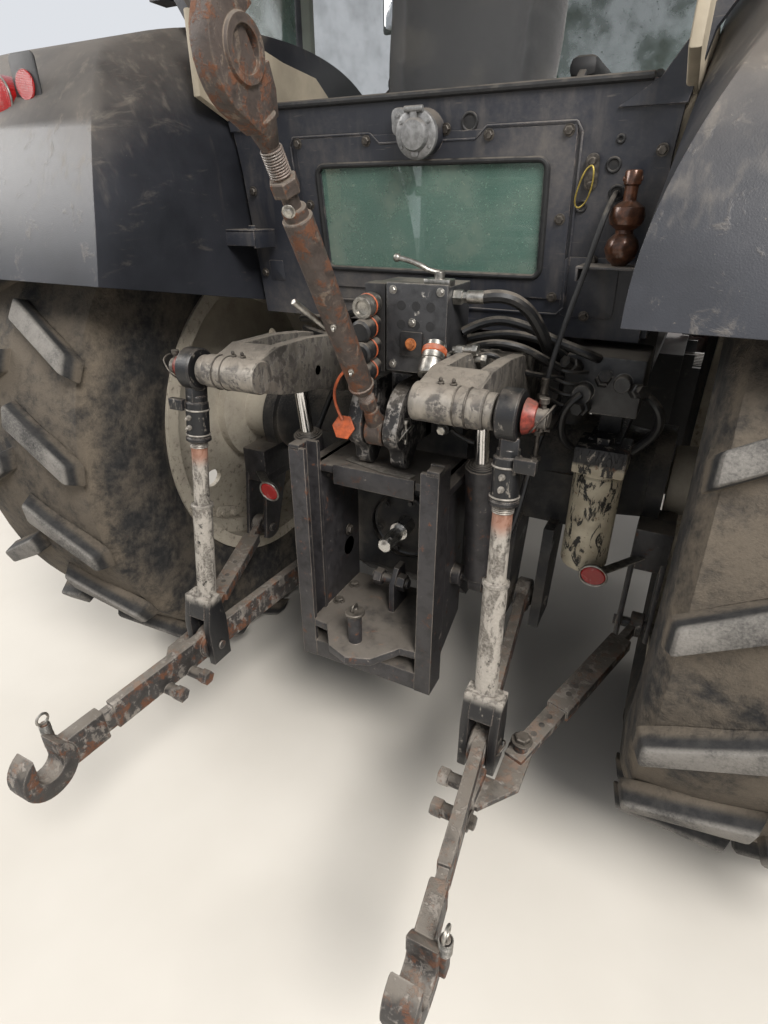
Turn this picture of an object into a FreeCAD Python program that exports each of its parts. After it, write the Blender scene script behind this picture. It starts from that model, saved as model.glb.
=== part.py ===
import FreeCAD, Part
import math
import os

# Farm tractor, four-wheel drive with a cab and a rear three-point linkage.
# Millimetres. X is the tractor's right, Y its front, Z up from the ground.
# Everything is modelled from the rear axle's line (y = 0) and moved once, in save().

V = FreeCAD.Vector

# Overall places
REAR_REACH = 1290.0        # rear axle to the tips of the lower-link hooks
FRONT_REACH = 3610.0       # rear axle to the front of the weight bracket
WHEELBASE = 2650.0
SHIFT_Y = (REAR_REACH - FRONT_REACH) / 2.0
SEAT = 0.3                 # gap between pieces that rest on each other
RUN = 6.0                  # gap between pieces that pass each other
FIT = 0.06                 # radial play of a pin in its bore

# Rear wheels
REAR_TYRE_R = 860.0
REAR_TYRE_W = 520.0
REAR_TRACK = 1840.0
REAR_RIM_SEAT = 483.0
REAR_RIM_FLANGE = 515.0
REAR_RIM_W = 470.0
REAR_HUB_X = 632.0         # outer end of the axle housing
REAR_DISC_X = 805.0        # plane of the wheel disc
REAR_SHAFT_R = 45.0        # half shaft, in the axle housing
FRONT_SHAFT_R = 38.0       # front hub spindle, in the swivel housing
KING_R = 26.0
RAIL_TOP = 895.0           # front frame's side rails
BALL_PIN_R = 13.0

# Front wheels
FRONT_TYRE_R = 650.0
FRONT_TYRE_W = 420.0
FRONT_TRACK = 1860.0
FRONT_RIM_SEAT = 355.0
FRONT_RIM_FLANGE = 378.0
FRONT_RIM_W = 375.0
FRONT_DISC_X = 880.0
SHAFT_LOW_Z = 590.0        # front drive shaft

# Steering
KING_X = 660.0             # king pins
ARM_BACK = 170.0           # king pin to track-rod pin
TIE_Z = 440.0
STEER_CYL_Z = 440.0
STEER_CYL_FRONT = 165.0    # king pin to the steering cylinder's pin
TRUNNION = 205.0           # axle centre to the middle of its swing bearings

# Linkage
HOUSING_REAR = -330.0
LIFT_TOP = 1222.0
SHAFT_Y, SHAFT_Z = -270.0, 1140.0        # rockshaft
SHAFT_R = 42.0
LINK_PIN_R = 14.0
ROD_PIN_R = 12.0
CYL_STEM_R = 17.0
STEER_STEM_R = 15.0
ARM_END_Y, ARM_END_Z = -690.0, 1200.0    # lift-rod pin on the lift arm
ARM_X = 345.0
LINK_Y, LINK_Z = -200.0, 500.0           # front pivot of the lower links
LINK_X = 325.0
ROD_PIN_Y, ROD_PIN_Z = -760.0, 475.0     # lift-rod pin on the lower link
ROD_PIN_X = 385.0
HOOK_X, HOOK_Y, HOOK_Z = 435.0, -1225.0, 450.0
CYL_X = 240.0
CYL_LOW_Y, CYL_LOW_Z = -390.0, 640.0     # lift cylinder's foot
CYL_TOP_Y, CYL_TOP_Z = -470.0, 1168.0    # lift cylinder's pin on the lift arm
EYE_SET_Y, EYE_SET_Z = 6.0, -2.0         # worn eye, set off its pin
EYE_PLAY = 8.0
TOP_PIN_Y, TOP_PIN_Z = -500.0, 1054.0    # top link's front pin
TOP_PIN_R = 12.5
TOP_LINK_LENGTH = 762.0
TOP_LINK_LEAN = 32.0                     # from upright, towards the rear
PTO_Z = 720.0
PTO_R = 17.5
PTO_END_Y = -470.0
PTO_SPLINE = 88.0          # length that a driveshaft's yoke slides on
PTO_COLLAR_R = 26.0
HITCH_PLATE_Z = 512.0      # top of the ladder's floor plate
RAIL_X = 173.0                           # ladder of the hitch
RAIL_Y = -554.0

# Cab
SILL_Y, SILL_Z = -295.0, 1725.0          # rear window sill
PANEL_LOW_Y, PANEL_LOW_Z = -220.0, 1250.0
FENDER_IN = 520.0
FENDER_OUT = 1130.0
FENDER_WALL = 8.0
POST_A = (600.0, 1330.0)                 # x, y of the front pillars
POST_B = (770.0, 420.0)
POST_C = (700.0, -265.0)
POST = 55.0
ROOF_LOW = 2600.0
ROOF_TOP = 2810.0
FLOOR_Z = 1080.0
DECK_Z = 1285.0            # raised floor under the seat
GLASS = 6.0
DOOR_THICK = 34.0
DOOR_GAP = 6.0
HINGE_R = 7.0
WHEEL_Y, WHEEL_Z, WHEEL_TILT = 985.0, 1745.0, 32.0

# Bonnet
BONNET_REAR = 1420.0
BONNET_FRONT = 3430.0
BONNET_WALL = 5.0
BONNET_HINGE_Y, BONNET_HINGE_Z = 1450.0, 1660.0


def box(x0, x1, y0, y1, z0, z1):
    return Part.makeBox(x1 - x0, y1 - y0, z1 - z0, V(x0, y0, z0))


def rod(a, b, radius):
    a, b = V(*a), V(*b)
    return Part.makeCylinder(radius, (b - a).Length, a, b - a)


def pipe(a, b, radius, bore):
    return rod(a, b, radius).cut(rod(a, b, bore))


def cone(a, b, radius_a, radius_b):
    a, b = V(*a), V(*b)
    return Part.makeCone(radius_a, radius_b, (b - a).Length, a, b - a)


def place(axis, at, p, q):
    """A point in the plane across an axis: x takes (y, z), y takes (x, z), z takes (x, y)."""
    if axis == "x":
        return V(at, p, q)
    if axis == "y":
        return V(p, at, q)
    return V(p, q, at)


def outline(points, axis="x", at=0.0):
    """Closed wire. Two numbers are a corner; four are an arc's middle and its end."""
    edges = []
    start = place(axis, at, *points[0][-2:])
    here = start
    for item in list(points[1:]) + [points[0]]:
        end = place(axis, at, *item[-2:])
        if len(item) == 4 and item is not points[0]:
            edges.append(Part.Arc(here, place(axis, at, *item[:2]), end).toShape())
        elif (end - here).Length > 1e-6:
            edges.append(Part.LineSegment(here, end).toShape())
        here = end
    return Part.Wire(edges)


def slab(points, axis, low, high):
    """An outline drawn across an axis and run along it from low to high."""
    face = Part.Face(outline(points, axis, low))
    return face.extrude(place(axis, high - low, 0, 0))


def turned(points, centre):
    """A ring about the X axis from an outline of (x, radius)."""
    cx, cy, cz = centre
    moved = [tuple(v + (cx, cz)[i % 2] for i, v in enumerate(item)) for item in points]
    face = Part.Face(outline(moved, "y", cy))
    return face.revolve(V(cx, cy, cz), V(1, 0, 0), 360)


def fused(shapes):
    shapes = list(shapes)
    if len(shapes) == 1:
        return shapes[0]
    return shapes[0].fuse(shapes[1:]).removeSplitter()


def mirrored(shape):
    return shape.mirror(V(0, 0, 0), V(1, 0, 0))


def both(shape):
    """The piece and its twin on the other side."""
    return [shape, mirrored(shape)]


def side_of(name, sign):
    return name + ("_right" if sign > 0 else "_left")


def save(name, *solids):
    parts = []
    for solid in solids:
        parts.extend(solid.Solids)
    shape = parts[0] if len(parts) == 1 else Part.makeCompound(parts)
    shape = shape.copy()
    shape.translate(V(0, SHIFT_Y, 0))
    shape.exportStep("parts/" + name + ".step")


def save_pair(name, shape):
    save(side_of(name, 1), shape)
    save(side_of(name, -1), mirrored(shape))


# Wheels

def tyre(centre, radius, width, seat, flange, rim_width):
    """Radial tyre as one ring; the crown is at the lugs' tips."""
    half = width / 2.0
    bead = rim_width / 2.0 - 14.0 - SEAT
    bore = seat + SEAT
    shoulder = half * 0.88
    wall_r = bore + (radius - bore) * 0.45
    wall_top = radius - (radius - bore) * 0.17
    return turned((
        (-bead, bore),
        (bead, bore),
        (bead, flange + 6.0),
        (half, wall_r, shoulder, wall_top),
        (shoulder * 0.97, radius - 14.0),
        (0.0, radius, -shoulder * 0.97, radius - 14.0),
        (-shoulder, wall_top),
        (-half, wall_r, -bead, flange + 6.0),
    ), centre)


def rim(centre, seat, flange, width, disc_x, bolt_r, holes, hole_r, hole_at):
    """Rim well, its dished disc and the hand holes; disc_x is the disc's plane."""
    half = width / 2.0
    wall = 12.0
    well = seat - 42.0
    ring = turned((
        (-half, flange), (-half + 9, flange), (-half + 14, seat), (-half + 95, seat),
        (-half + 120, well), (half - 120, well), (half - 95, seat), (half - 14, seat),
        (half - 9, flange), (half, flange), (half, seat - wall), (half - 88, seat - wall),
        (half - 114, well - wall), (-half + 114, well - wall), (-half + 88, seat - wall),
        (-half, seat - wall),
    ), centre)
    at = disc_x - centre[0]
    dish = 46.0
    disc = turned((
        (at - 9, bolt_r - 60), (at + 9, bolt_r - 60), (at + 9, bolt_r + 50),
        (at + 9 + dish, well * 0.80), (at + 9 + dish, well - wall + 4),
        (at - 9 + dish, well - wall + 4), (at - 9 + dish, well * 0.80), (at - 9, bolt_r + 50),
    ), centre)
    y, z = centre[1], centre[2]
    for i in range(holes):
        a = 2 * math.pi * (i + 0.5) / holes
        p = (centre[0] - half, y + hole_at * math.cos(a), z + hole_at * math.sin(a))
        q = (centre[0] + half, p[1], p[2])
        disc = disc.cut(rod(p, q, hole_r))
    return ring.fuse(disc)


def hub_bolts(x0, x1, y, z, ring_r, count, size):
    heads = []
    for i in range(count):
        a = 2 * math.pi * i / count
        py, pz = y + ring_r * math.cos(a), z + ring_r * math.sin(a)
        heads.append(rod((x0, py, pz), (x1, py, pz), size))
    return heads


def rear_wheel():
    centre = (REAR_TRACK / 2.0, 0.0, REAR_TYRE_R)
    save_pair("rear_tyre", tyre(centre, REAR_TYRE_R, REAR_TYRE_W, REAR_RIM_SEAT, REAR_RIM_FLANGE,
                                 REAR_RIM_W))
    wheel = rim(centre, REAR_RIM_SEAT, REAR_RIM_FLANGE, REAR_RIM_W, REAR_DISC_X,
                bolt_r=150.0, holes=4, hole_r=34.0, hole_at=300.0)
    y, z = centre[1], centre[2]
    hub = turned((
        (REAR_HUB_X - 70, 0.0), (REAR_HUB_X - 70, REAR_SHAFT_R), (REAR_HUB_X + RUN, REAR_SHAFT_R),
        (REAR_HUB_X + RUN, 92.0), (REAR_DISC_X - 60, 96.0),
        (REAR_DISC_X - 40, 178.0), (REAR_DISC_X - 9, 178.0), (REAR_DISC_X - 9, 88.0),
        (REAR_DISC_X + 55, 84.0), (REAR_DISC_X + 68, 60.0), (REAR_DISC_X + 68, 0.0),
    ), (0.0, y, z))
    heads = hub_bolts(REAR_DISC_X, REAR_DISC_X + 34, y, z, 150.0, 8, 16.0)
    save_pair("rear_rim", fused([wheel, hub] + heads))


def front_wheel():
    centre = (FRONT_TRACK / 2.0, WHEELBASE, FRONT_TYRE_R)
    save_pair("front_tyre", tyre(centre, FRONT_TYRE_R, FRONT_TYRE_W, FRONT_RIM_SEAT, FRONT_RIM_FLANGE,
                                  FRONT_RIM_W))
    wheel = rim(centre, FRONT_RIM_SEAT, FRONT_RIM_FLANGE, FRONT_RIM_W, FRONT_DISC_X,
                bolt_r=138.0, holes=4, hole_r=24.0, hole_at=225.0)
    y, z = centre[1], centre[2]
    hub = turned((
        (FRONT_DISC_X - 110, 0.0), (FRONT_DISC_X - 110, FRONT_SHAFT_R),
        (FRONT_DISC_X - 44, FRONT_SHAFT_R), (FRONT_DISC_X - 44, 165.0), (FRONT_DISC_X - 9, 165.0),
        (FRONT_DISC_X - 9, 98.0), (FRONT_DISC_X + 70, 92.0), (FRONT_DISC_X + 84, 70.0),
        (FRONT_DISC_X + 84, 0.0),
    ), (0.0, y, z))
    heads = hub_bolts(FRONT_DISC_X, FRONT_DISC_X + 30, y, z, 138.0, 8, 14.0)
    save_pair("front_rim", fused([wheel, hub] + heads))


# Front axle and steering

def front_axle():
    y, z = WHEELBASE, FRONT_TYRE_R
    arm_x = KING_X - 68.0
    upper = slab(((-arm_x, z - 62), (-190, z - 85), (190, z - 85), (arm_x, z - 62),
                  (arm_x, z + 62), (190, z + 85), (-190, z + 85), (-arm_x, z + 62)),
                 "y", y - 88, y + 88)
    bowl = rod((40, y - 168, z), (40, y + 110, z), 118.0)
    pieces = [upper, bowl]
    for s in (-1, 1):
        pieces.append(rod((s * KING_X, y, z - 145), (s * KING_X, y, z + 145), 68.0))
        pieces.append(box(*sorted((s * (arm_x - 10), s * KING_X)), y - 60, y + 60, z - 80, z + 80))
    beam = fused(pieces)
    for s in (-1, 1):
        beam = beam.cut(rod((s * KING_X, y, z - 150), (s * KING_X, y, z + 150), KING_R + FIT))
    front = y + STEER_CYL_FRONT
    barrel = rod((-150, front, STEER_CYL_Z), (230, front, STEER_CYL_Z), 36.0)
    carrier = box(-60, 140, y + 30, front + 20, STEER_CYL_Z, z - 60)
    trunnions = [
        rod((0, y + 90, z), (0, y + TRUNNION + 22, z), 40.0),
        rod((0, y - 160, z), (0, y - TRUNNION - 22, z), 60.0),
    ]
    body = fused([beam, carrier, barrel] + trunnions)
    body = body.cut(rod((-160, front, STEER_CYL_Z), (210, front, STEER_CYL_Z), STEER_STEM_R + FIT))
    save("front_axle", body)


def knuckle():
    """Swivel housing: two forks on the king pin, the hub drum and the steering arms."""
    y, z = WHEELBASE, FRONT_TYRE_R
    pieces = [rod((748, y, z), (FRONT_DISC_X - 44 - RUN, y, z), 150.0)]
    for s in (-1, 1):
        low, high = sorted((z + s * 151, z + s * 189))
        pieces.append(rod((KING_X, y, low), (KING_X, y, high), 66.0))
        pieces.append(box(KING_X, 790, y - 62, y + 62, low, high))
        pieces.append(rod((KING_X, y, z + s * 95), (KING_X, y, z + s * 160), KING_R))
    web = box(748, 800, y - 110, y + 110, z - 189, z + 189)
    pieces.append(web)
    arm_low = z - 189
    pieces.append(box(KING_X - 24, KING_X + 24, y - ARM_BACK, y, arm_low, arm_low + 38))
    pieces.append(rod((KING_X, y - ARM_BACK, arm_low), (KING_X, y - ARM_BACK, arm_low + 38), 34.0))
    pieces.append(rod((KING_X, y - ARM_BACK, TIE_Z - 20), (KING_X, y - ARM_BACK, arm_low + 5), BALL_PIN_R))
    body = fused(pieces)
    return body.cut(rod((FRONT_DISC_X - 112, y, z), (FRONT_DISC_X, y, z), FRONT_SHAFT_R + FIT))


def steering():
    y = WHEELBASE
    body = knuckle()
    save("front_knuckle_right", body)
    arm_low = FRONT_TYRE_R - 189
    eye_y = y + STEER_CYL_FRONT
    front_arm = fused([
        box(KING_X - 24, KING_X + 24, y, eye_y, arm_low, arm_low + 38),
        rod((KING_X, eye_y, arm_low), (KING_X, eye_y, arm_low + 38), 32.0),
        rod((KING_X, eye_y, STEER_CYL_Z + 15 + SEAT), (KING_X, eye_y, arm_low + 5), BALL_PIN_R),
    ])
    save("front_knuckle_left", mirrored(body.fuse(front_arm)))
    tie = [rod((-KING_X + 30, y - ARM_BACK, TIE_Z), (KING_X - 30, y - ARM_BACK, TIE_Z), 17.0)]
    for s in (-1, 1):
        tie.append(rod((s * KING_X, y - ARM_BACK, TIE_Z - 16), (s * KING_X, y - ARM_BACK, TIE_Z + 16), 33.0))
    link = fused(tie)
    for s in (-1, 1):
        link = link.cut(rod((s * KING_X, y - ARM_BACK, TIE_Z - 30),
                            (s * KING_X, y - ARM_BACK, TIE_Z + 30), BALL_PIN_R + FIT))
    save("track_rod", link)
    eye = fused([
        rod((-KING_X + 30, eye_y, STEER_CYL_Z), (70, eye_y, STEER_CYL_Z), STEER_STEM_R),
        rod((-KING_X, eye_y, STEER_CYL_Z - 15), (-KING_X, eye_y, STEER_CYL_Z + 15), 34.0),
    ])
    save("steering_rod", eye)


# Driveline and frame

def rear_axle_housing():
    """Gearbox and back axle: tapered casting, lift housing and the two axle trumpets."""
    side = slab(((-330, 560), (-330, 1000), (-200, 1030), (300, 1030), (1180, 1000), (1395, 1060),
                 (1395, 690), (1180, 640), (760, 600), (300, 480), (-250, 480)), "x", -165, 165)
    lift = slab(((HOUSING_REAR, 990), (HOUSING_REAR, 1180), (-300, LIFT_TOP), (60, LIFT_TOP),
                 (220, 1040), (220, 990)), "x", -150, 150)
    drop_box = box(-75, 75, 980, 1150, SHAFT_LOW_Z - 60, 700)
    cab_feet = both(rod((360, -20, 960), (360, -20, DECK_Z - 30 - SEAT), 45))
    cab_feet += both(box(160, 295, 1190, 1290, 985, FLOOR_Z - 30 - SEAT))
    pieces = [side, lift, drop_box] + cab_feet
    for s in (-1, 1):
        z = REAR_TYRE_R
        pieces.append(cone((s * 150, 0, z), (s * 330, 0, z), 205, 150))
        pieces.append(cone((s * 330, 0, z), (s * (REAR_HUB_X - 40), 0, z), 150, 118))
        pieces.append(rod((s * (REAR_HUB_X - 42), 0, z), (s * REAR_HUB_X, 0, z), 142))
        pieces.append(box(*sorted((s * 150, s * 420)), -150, 150, z - 130, z + 20))
        bracket = slab(((-260, LINK_Z - 60), (-140, LINK_Z - 60), (-60, 740), (-220, 740)),
                       "x", *sorted((s * (LINK_X + 36), s * (LINK_X + 64))))
        inner = slab(((-260, LINK_Z - 60), (-140, LINK_Z - 60), (-60, 740), (-220, 740)),
                     "x", *sorted((s * (LINK_X - 64), s * (LINK_X - 36))))
        pieces += [bracket, inner]
        pieces.append(rod((s * (LINK_X - 70), LINK_Y, LINK_Z), (s * (LINK_X + 70), LINK_Y, LINK_Z), LINK_PIN_R))
    body = fused(pieces)
    cuts = [
        rod((-170, SHAFT_Y, SHAFT_Z), (170, SHAFT_Y, SHAFT_Z), SHAFT_R + FIT),
        rod((0, HOUSING_REAR - 10, PTO_Z), (0, HOUSING_REAR + 60, PTO_Z), PTO_COLLAR_R + FIT),
    ]
    for s in (-1, 1):
        cuts.append(rod((s * (REAR_HUB_X - 72), 0, REAR_TYRE_R), (s * (REAR_HUB_X + 5), 0, REAR_TYRE_R),
                        REAR_SHAFT_R + FIT))
    for hole in cuts:
        body = body.cut(hole)
    save("rear_axle_housing", body)


def engine():
    block = slab(((1395 + SEAT, 700), (1395 + SEAT, 1060), (1440, 1380), (2420, 1380),
                  (2470, 1290), (2470, 830), (2330, 830), (2280, 640), (1520, 640), (1470, 700)),
                 "x", -185, 185)
    radiator = box(-270, 270, 2790, 2950, RAIL_TOP + SEAT, 1430)
    fan = rod((0, 2470 + SEAT, 1120), (0, 2700, 1120), 60)
    save("engine", block)
    save("radiator", radiator, fan)


def front_frame():
    rails = []
    for s in (-1, 1):
        rails.append(slab(((1185, 700), (1185, 980), (1400, 980), (1800, RAIL_TOP), (3060, RAIL_TOP),
                           (3060, 780), (1800, 780), (1420, 700)), "x",
                          *sorted((s * 186, s * 226))))
    y = WHEELBASE
    z = FRONT_TYRE_R
    saddle = box(-226, 226, y - TRUNNION - 20, y + TRUNNION + 20, 780, 812)
    hangers = []
    for s, bore in ((-1, 60.0), (1, 40.0)):
        mid = y + s * TRUNNION
        hanger = box(-100, 100, mid - 18, mid + 18, z - 100, 800)
        hangers.append(hanger.cut(rod((0, mid - 30, z), (0, mid + 30, z), bore + SEAT)))
    nose = slab(((2960, 780), (2960, RAIL_TOP), (3380, RAIL_TOP), (3380, 640), (3200, 640), (3120, 780)),
                "x", -226, 226)
    bracket = box(-290, 290, 3380, 3430, 560, 900)
    horns = [box(*sorted((s * 200, s * 250)), 3430, FRONT_REACH - 60, 700, 800) for s in (-1, 1)]
    rail = box(-300, 300, FRONT_REACH - 60, FRONT_REACH, 690, 810)
    save("front_frame", fused(rails + [saddle, nose, bracket, rail] + hangers + horns))
    end = y - TRUNNION - 22 - SEAT
    shaft = fused([
        rod((0, 1150 + SEAT, SHAFT_LOW_Z), (0, 1200, SHAFT_LOW_Z), 44),
        rod((0, 1190, SHAFT_LOW_Z), (0, end - 60, SHAFT_LOW_Z + 20), 30),
        rod((0, end - 70, SHAFT_LOW_Z + 20), (0, end, SHAFT_LOW_Z + 20), 50),
    ])
    return shaft


def side_tanks():
    """Fuel tank on the left and the tool and battery box on the right, each with its steps."""
    for s, name in ((-1, "fuel_tank_and_steps"), (1, "battery_box_and_steps")):
        length = 1760.0 if s < 0 else 1600.0
        tank = slab(((900, 1010), (length - 60, 1010), (length, 950), (length, 640),
                     (length - 70, 560), (1000, 560), (900, 660)), "x", 300, 600)
        strap = [box(226 + SEAT, 300, yy, yy + 60, 700, 760) for yy in (1250, 1520)]
        steps = []
        for z, out in ((430.0, 790.0), (690.0, 780.0), (920.0, 770.0)):
            steps.append(box(600 if z > 560 else 640, out, 990, 1290, z, z + 30))
        ladder = [box(595, 640, yy, yy + 14, 430, 1000) for yy in (976, 1290)]
        sides = [box(602, 770, yy, yy + 14, 430, 950) for yy in (976, 1290)]
        body = fused([tank] + strap + steps + ladder + sides)
        if s < 0:
            body = mirrored(body)
        save(name, body)


def exhaust():
    x, y = 560.0, 1500.0
    stack = fused([
        pipe((x, y, 1560), (x, y, 2700), 48, 44),
        rod((x, y, 1560), (x, y, 1600), 48),
        pipe((x, y, 1700), (x, y, 2350), 72, 48),
    ] + [box(590, 610, POST_A[1] + POST / 2 + SEAT, y - 58, z, z + 40) for z in (1760, 2260)])
    save("exhaust_stack", stack)


# Cab

ARCH = (  # angle from the front, radius from the rear axle
    (14.9, 931.0), (48.9, 1035.0), (70.2, 1063.0), (93.2, 1072.0),
    (115.9, 1100.0), (130.6, 1027.0), (146.5, 923.6),
)


def arch(inset):
    """The fender's side outline, set in by a wall; three arcs between seven places."""
    at = [(r * math.cos(math.radians(a)) - inset * math.cos(math.radians(a)),
           REAR_TYRE_R + (r - inset) * math.sin(math.radians(a))) for a, r in ARCH]
    return (at[0], at[1] + at[2], at[3] + at[4], at[5] + at[6])


def shoulder_block(inset):
    """A bar run up along the fender's inner edge, with the rolled shoulder on its side."""
    x = FENDER_IN + inset
    z = 1385.0 - inset
    face = Part.Face(outline((
        (x, 200), (x, z), (x + 52, z + 190, x + 190, z + 330), (x + 190, z + 1500),
        (FENDER_OUT + inset * 20, z + 1500), (FENDER_OUT + inset * 20, 200),
    ), "y", -800.0))
    run = 1800.0
    return face.extrude(V(0, run, run * 0.43))


def fender():
    outer = slab(arch(0.0), "x", FENDER_IN, FENDER_OUT).common(shoulder_block(0.0))
    inner = slab(arch(FENDER_WALL), "x", FENDER_IN + FENDER_WALL, FENDER_OUT + 50)
    inner = inner.common(shoulder_block(FENDER_WALL))
    low = box(FENDER_IN + FENDER_WALL, FENDER_OUT + 50, -760, 890, 900, 1340)
    shell = outer.cut(inner.fuse(low))
    lip = slab(arch(0.0), "x", FENDER_OUT - FENDER_WALL, FENDER_OUT)
    lip = lip.cut(slab(arch(45.0), "x", FENDER_OUT - 60, FENDER_OUT + 10))
    lip = lip.cut(box(FENDER_OUT - 60, FENDER_OUT + 10, -700, 850, 900, 1300))
    save_pair("fender", shell.fuse(lip))


def cab_rear_panel():
    lean = math.degrees(math.atan2(PANEL_LOW_Y - SILL_Y, SILL_Z - PANEL_LOW_Z))
    top = PANEL_LOW_Z + (SILL_Z - PANEL_LOW_Z) / math.cos(math.radians(lean))
    panel = slab(((-508, 1250), (508, 1250), (508, 1610), (518, top), (-518, top), (-508, 1610)),
                 "y", PANEL_LOW_Y, PANEL_LOW_Y + 30)
    panel = panel.cut(box(-276, 276, PANEL_LOW_Y - 40, PANEL_LOW_Y + 60, 1380, 1612))
    plate = box(-330, 330, PANEL_LOW_Y - 5, PANEL_LOW_Y, 1335, 1668)
    plate = plate.cut(box(-270, 270, PANEL_LOW_Y - 40, PANEL_LOW_Y + 60, 1386, 1606))
    socket = rod((7, PANEL_LOW_Y - 42, 1668), (7, PANEL_LOW_Y, 1668), 44)
    body = fused([panel, plate, socket])
    glass = box(-275.7, 275.7, PANEL_LOW_Y + SEAT, PANEL_LOW_Y + SEAT + GLASS, 1380.3, 1611.7)
    for piece in (body, glass):
        piece.rotate(V(0, PANEL_LOW_Y, PANEL_LOW_Z), V(1, 0, 0), lean)
    horn = slab(((465, SILL_Z), (400, SILL_Z - 40), (518, SILL_Z - 40), (540, 1790), (668, 1985),
                 (640, 1985)), "y", SILL_Y, SILL_Y + 30)
    save("cab_rear_panel", fused([body] + both(horn)))
    return glass


def post(at, low, high, size=POST):
    x, y = at
    return box(x - size / 2, x + size / 2, y - size / 2, y + size / 2, low, high)


def rail_between(a, b, z, size=POST):
    """A square rail on the level between two pillars."""
    a, b = V(a[0], a[1], z), V(b[0], b[1], z)
    run = b - a
    bar = Part.makeBox(run.Length, size, size, V(0, -size / 2, -size / 2))
    bar.rotate(V(0, 0, 0), V(0, 0, 1), math.degrees(math.atan2(run.y, run.x)))
    bar.translate(a)
    return bar


def cab_frame(hinges):
    pieces = []
    for hinge in hinges:
        pieces += both(hinge)
    top = ROOF_LOW - POST / 2 - SEAT
    for s in (-1, 1):
        a, b, c = ((s * p[0], p[1]) for p in (POST_A, POST_B, POST_C))
        pieces.append(post(a, FLOOR_Z - 60, top + POST / 2))
        pieces.append(post(b, 1890, top + POST / 2))
        pieces.append(post(c, 1960, top + POST / 2))
        pieces.append(rail_between(a, b, top))
        pieces.append(rail_between(b, c, top))
    pieces.append(rail_between((-POST_A[0], POST_A[1]), POST_A, top))
    pieces.append(rail_between((-POST_C[0], POST_C[1]), POST_C, top))
    half = POST_A[0] - POST / 2
    pieces.append(box(-half, half, POST_A[1] - 15, POST_A[1] + 15, FLOOR_Z - 30, 1740))
    save("cab_frame", fused(pieces))


def cab_floor():
    front = POST_A[1] - 15 - SEAT
    lean = math.atan2(PANEL_LOW_Y - SILL_Y, SILL_Z - PANEL_LOW_Z)
    low = DECK_Z - 30
    back = PANEL_LOW_Y + 30 / math.cos(lean) - (low - PANEL_LOW_Z) * math.tan(lean) + SEAT
    half = FENDER_IN - SEAT
    deck = slab(((back, low), (back, DECK_Z), (330, DECK_Z), (400, FLOOR_Z), (front, FLOOR_Z),
                 (front, FLOOR_Z - 30), (380, FLOOR_Z - 30), (310, low)), "x", -half, half)
    save("cab_floor", deck)


def cab_roof():
    x, back, front, r = 800.0, -420.0, 1420.0, 170.0
    k = r * (1 - math.sqrt(0.5))
    plan = ((-x + r, back), (x - r, back), (x - k, back + k, x, back + r), (x, front - r),
            (x - k, front - k, x - r, front), (-x + r, front), (-x + k, front - k, -x, front - r),
            (-x, back + r), (-x + k, back + k, -x + r, back))
    shell = slab(plan, "z", ROOF_LOW, ROOF_TOP)
    edges = [e for e in shell.Edges if abs(e.BoundBox.ZMin - ROOF_TOP) < 1 and e.BoundBox.ZLength < 1]
    save("cab_roof", shell.makeFillet(90.0, edges))


def fixed_glass(rear_pane):
    top = ROOF_LOW - POST
    screen = box(-POST_A[0] + POST / 2 + SEAT, POST_A[0] - POST / 2 - SEAT,
                 POST_A[1] - 3, POST_A[1] + 3, 1740 + SEAT, top - SEAT)
    panes = [rear_pane, screen]
    bx, by = POST_B
    cx, cy = POST_C
    run = V(cx - bx, cy - by, 0)
    length = run.Length - POST - 2 * SEAT - 8
    quarter = Part.makeBox(length, GLASS, top - 1965 - SEAT, V(POST / 2 + 4, -GLASS / 2, 0))
    quarter.rotate(V(0, 0, 0), V(0, 0, 1), math.degrees(math.atan2(run.y, run.x)))
    quarter.translate(V(bx, by, 1965))
    panes += both(quarter)
    save("cab_glass", *panes)


def door():
    """Drawn flat from its hinge at the front pillar, then turned to the cab's side."""
    ax, ay = POST_A[0] + 20, POST_A[1]
    bx, by = POST_B[0] + 20, POST_B[1]
    length = math.hypot(bx - ax, by - ay)
    u0, u1 = POST / 2 + DOOR_GAP, length + 10
    frame_w = 45.0
    top = ROOF_LOW - 30.0

    def shape(d):
        return ((u0 + d, 1070 + d), (u0 + 330 - d * 0.4, 1070 + d),
                (u0 + 440 - d, 1480, u1 - 90 - d, 1800 + d * 0.4), (u1 - d, 1960), (u1 - d, top - d),
                (u0 + d, top - d))

    turn = math.degrees(math.atan2(by - ay, bx - ax))
    skew = math.radians(90 + turn)
    out = POST / 2 * (math.cos(skew) + abs(math.sin(skew))) + RUN
    skin = slab(shape(0.0), "y", out, out + DOOR_THICK)
    hole = slab(shape(frame_w), "y", out - 10, out + DOOR_THICK + 10)
    frame = skin.cut(hole)
    pane = slab(shape(frame_w + SEAT), "y", out + 14, out + 14 + GLASS)
    mid = out + DOOR_THICK / 2
    leaves, posts = [], []
    for z in (1350.0, 2350.0):
        leaf = fused([rod((0, mid, z), (0, mid, z + 60), HINGE_R + 6),
                      box(0, u0 + 8, mid - 5, mid + 5, z, z + 60)])
        leaves.append(leaf.cut(rod((0, mid, z - 5), (0, mid, z + 65), HINGE_R + FIT)))
        posts.append(fused([
            rod((0, mid, z - 14), (0, mid, z + 74), HINGE_R),
            rod((0, mid, z - 14), (0, mid, z - 1), HINGE_R + 6),
            rod((0, mid, z + 61), (0, mid, z + 74), HINGE_R + 6),
            box(-13, 13, 10, mid, z - 14, z - 1),
            box(-13, 13, 10, mid, z + 61, z + 74),
        ]))
    frame = fused([frame] + leaves)
    done = []
    for piece in [frame, pane] + posts:
        piece.rotate(V(0, 0, 0), V(0, 0, 1), turn)
        piece.translate(V(ax - 20, ay, 0))
        done.append(piece)
    save_pair("door", done[0])
    save_pair("door_glass", done[1])
    return done[2:]


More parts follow.
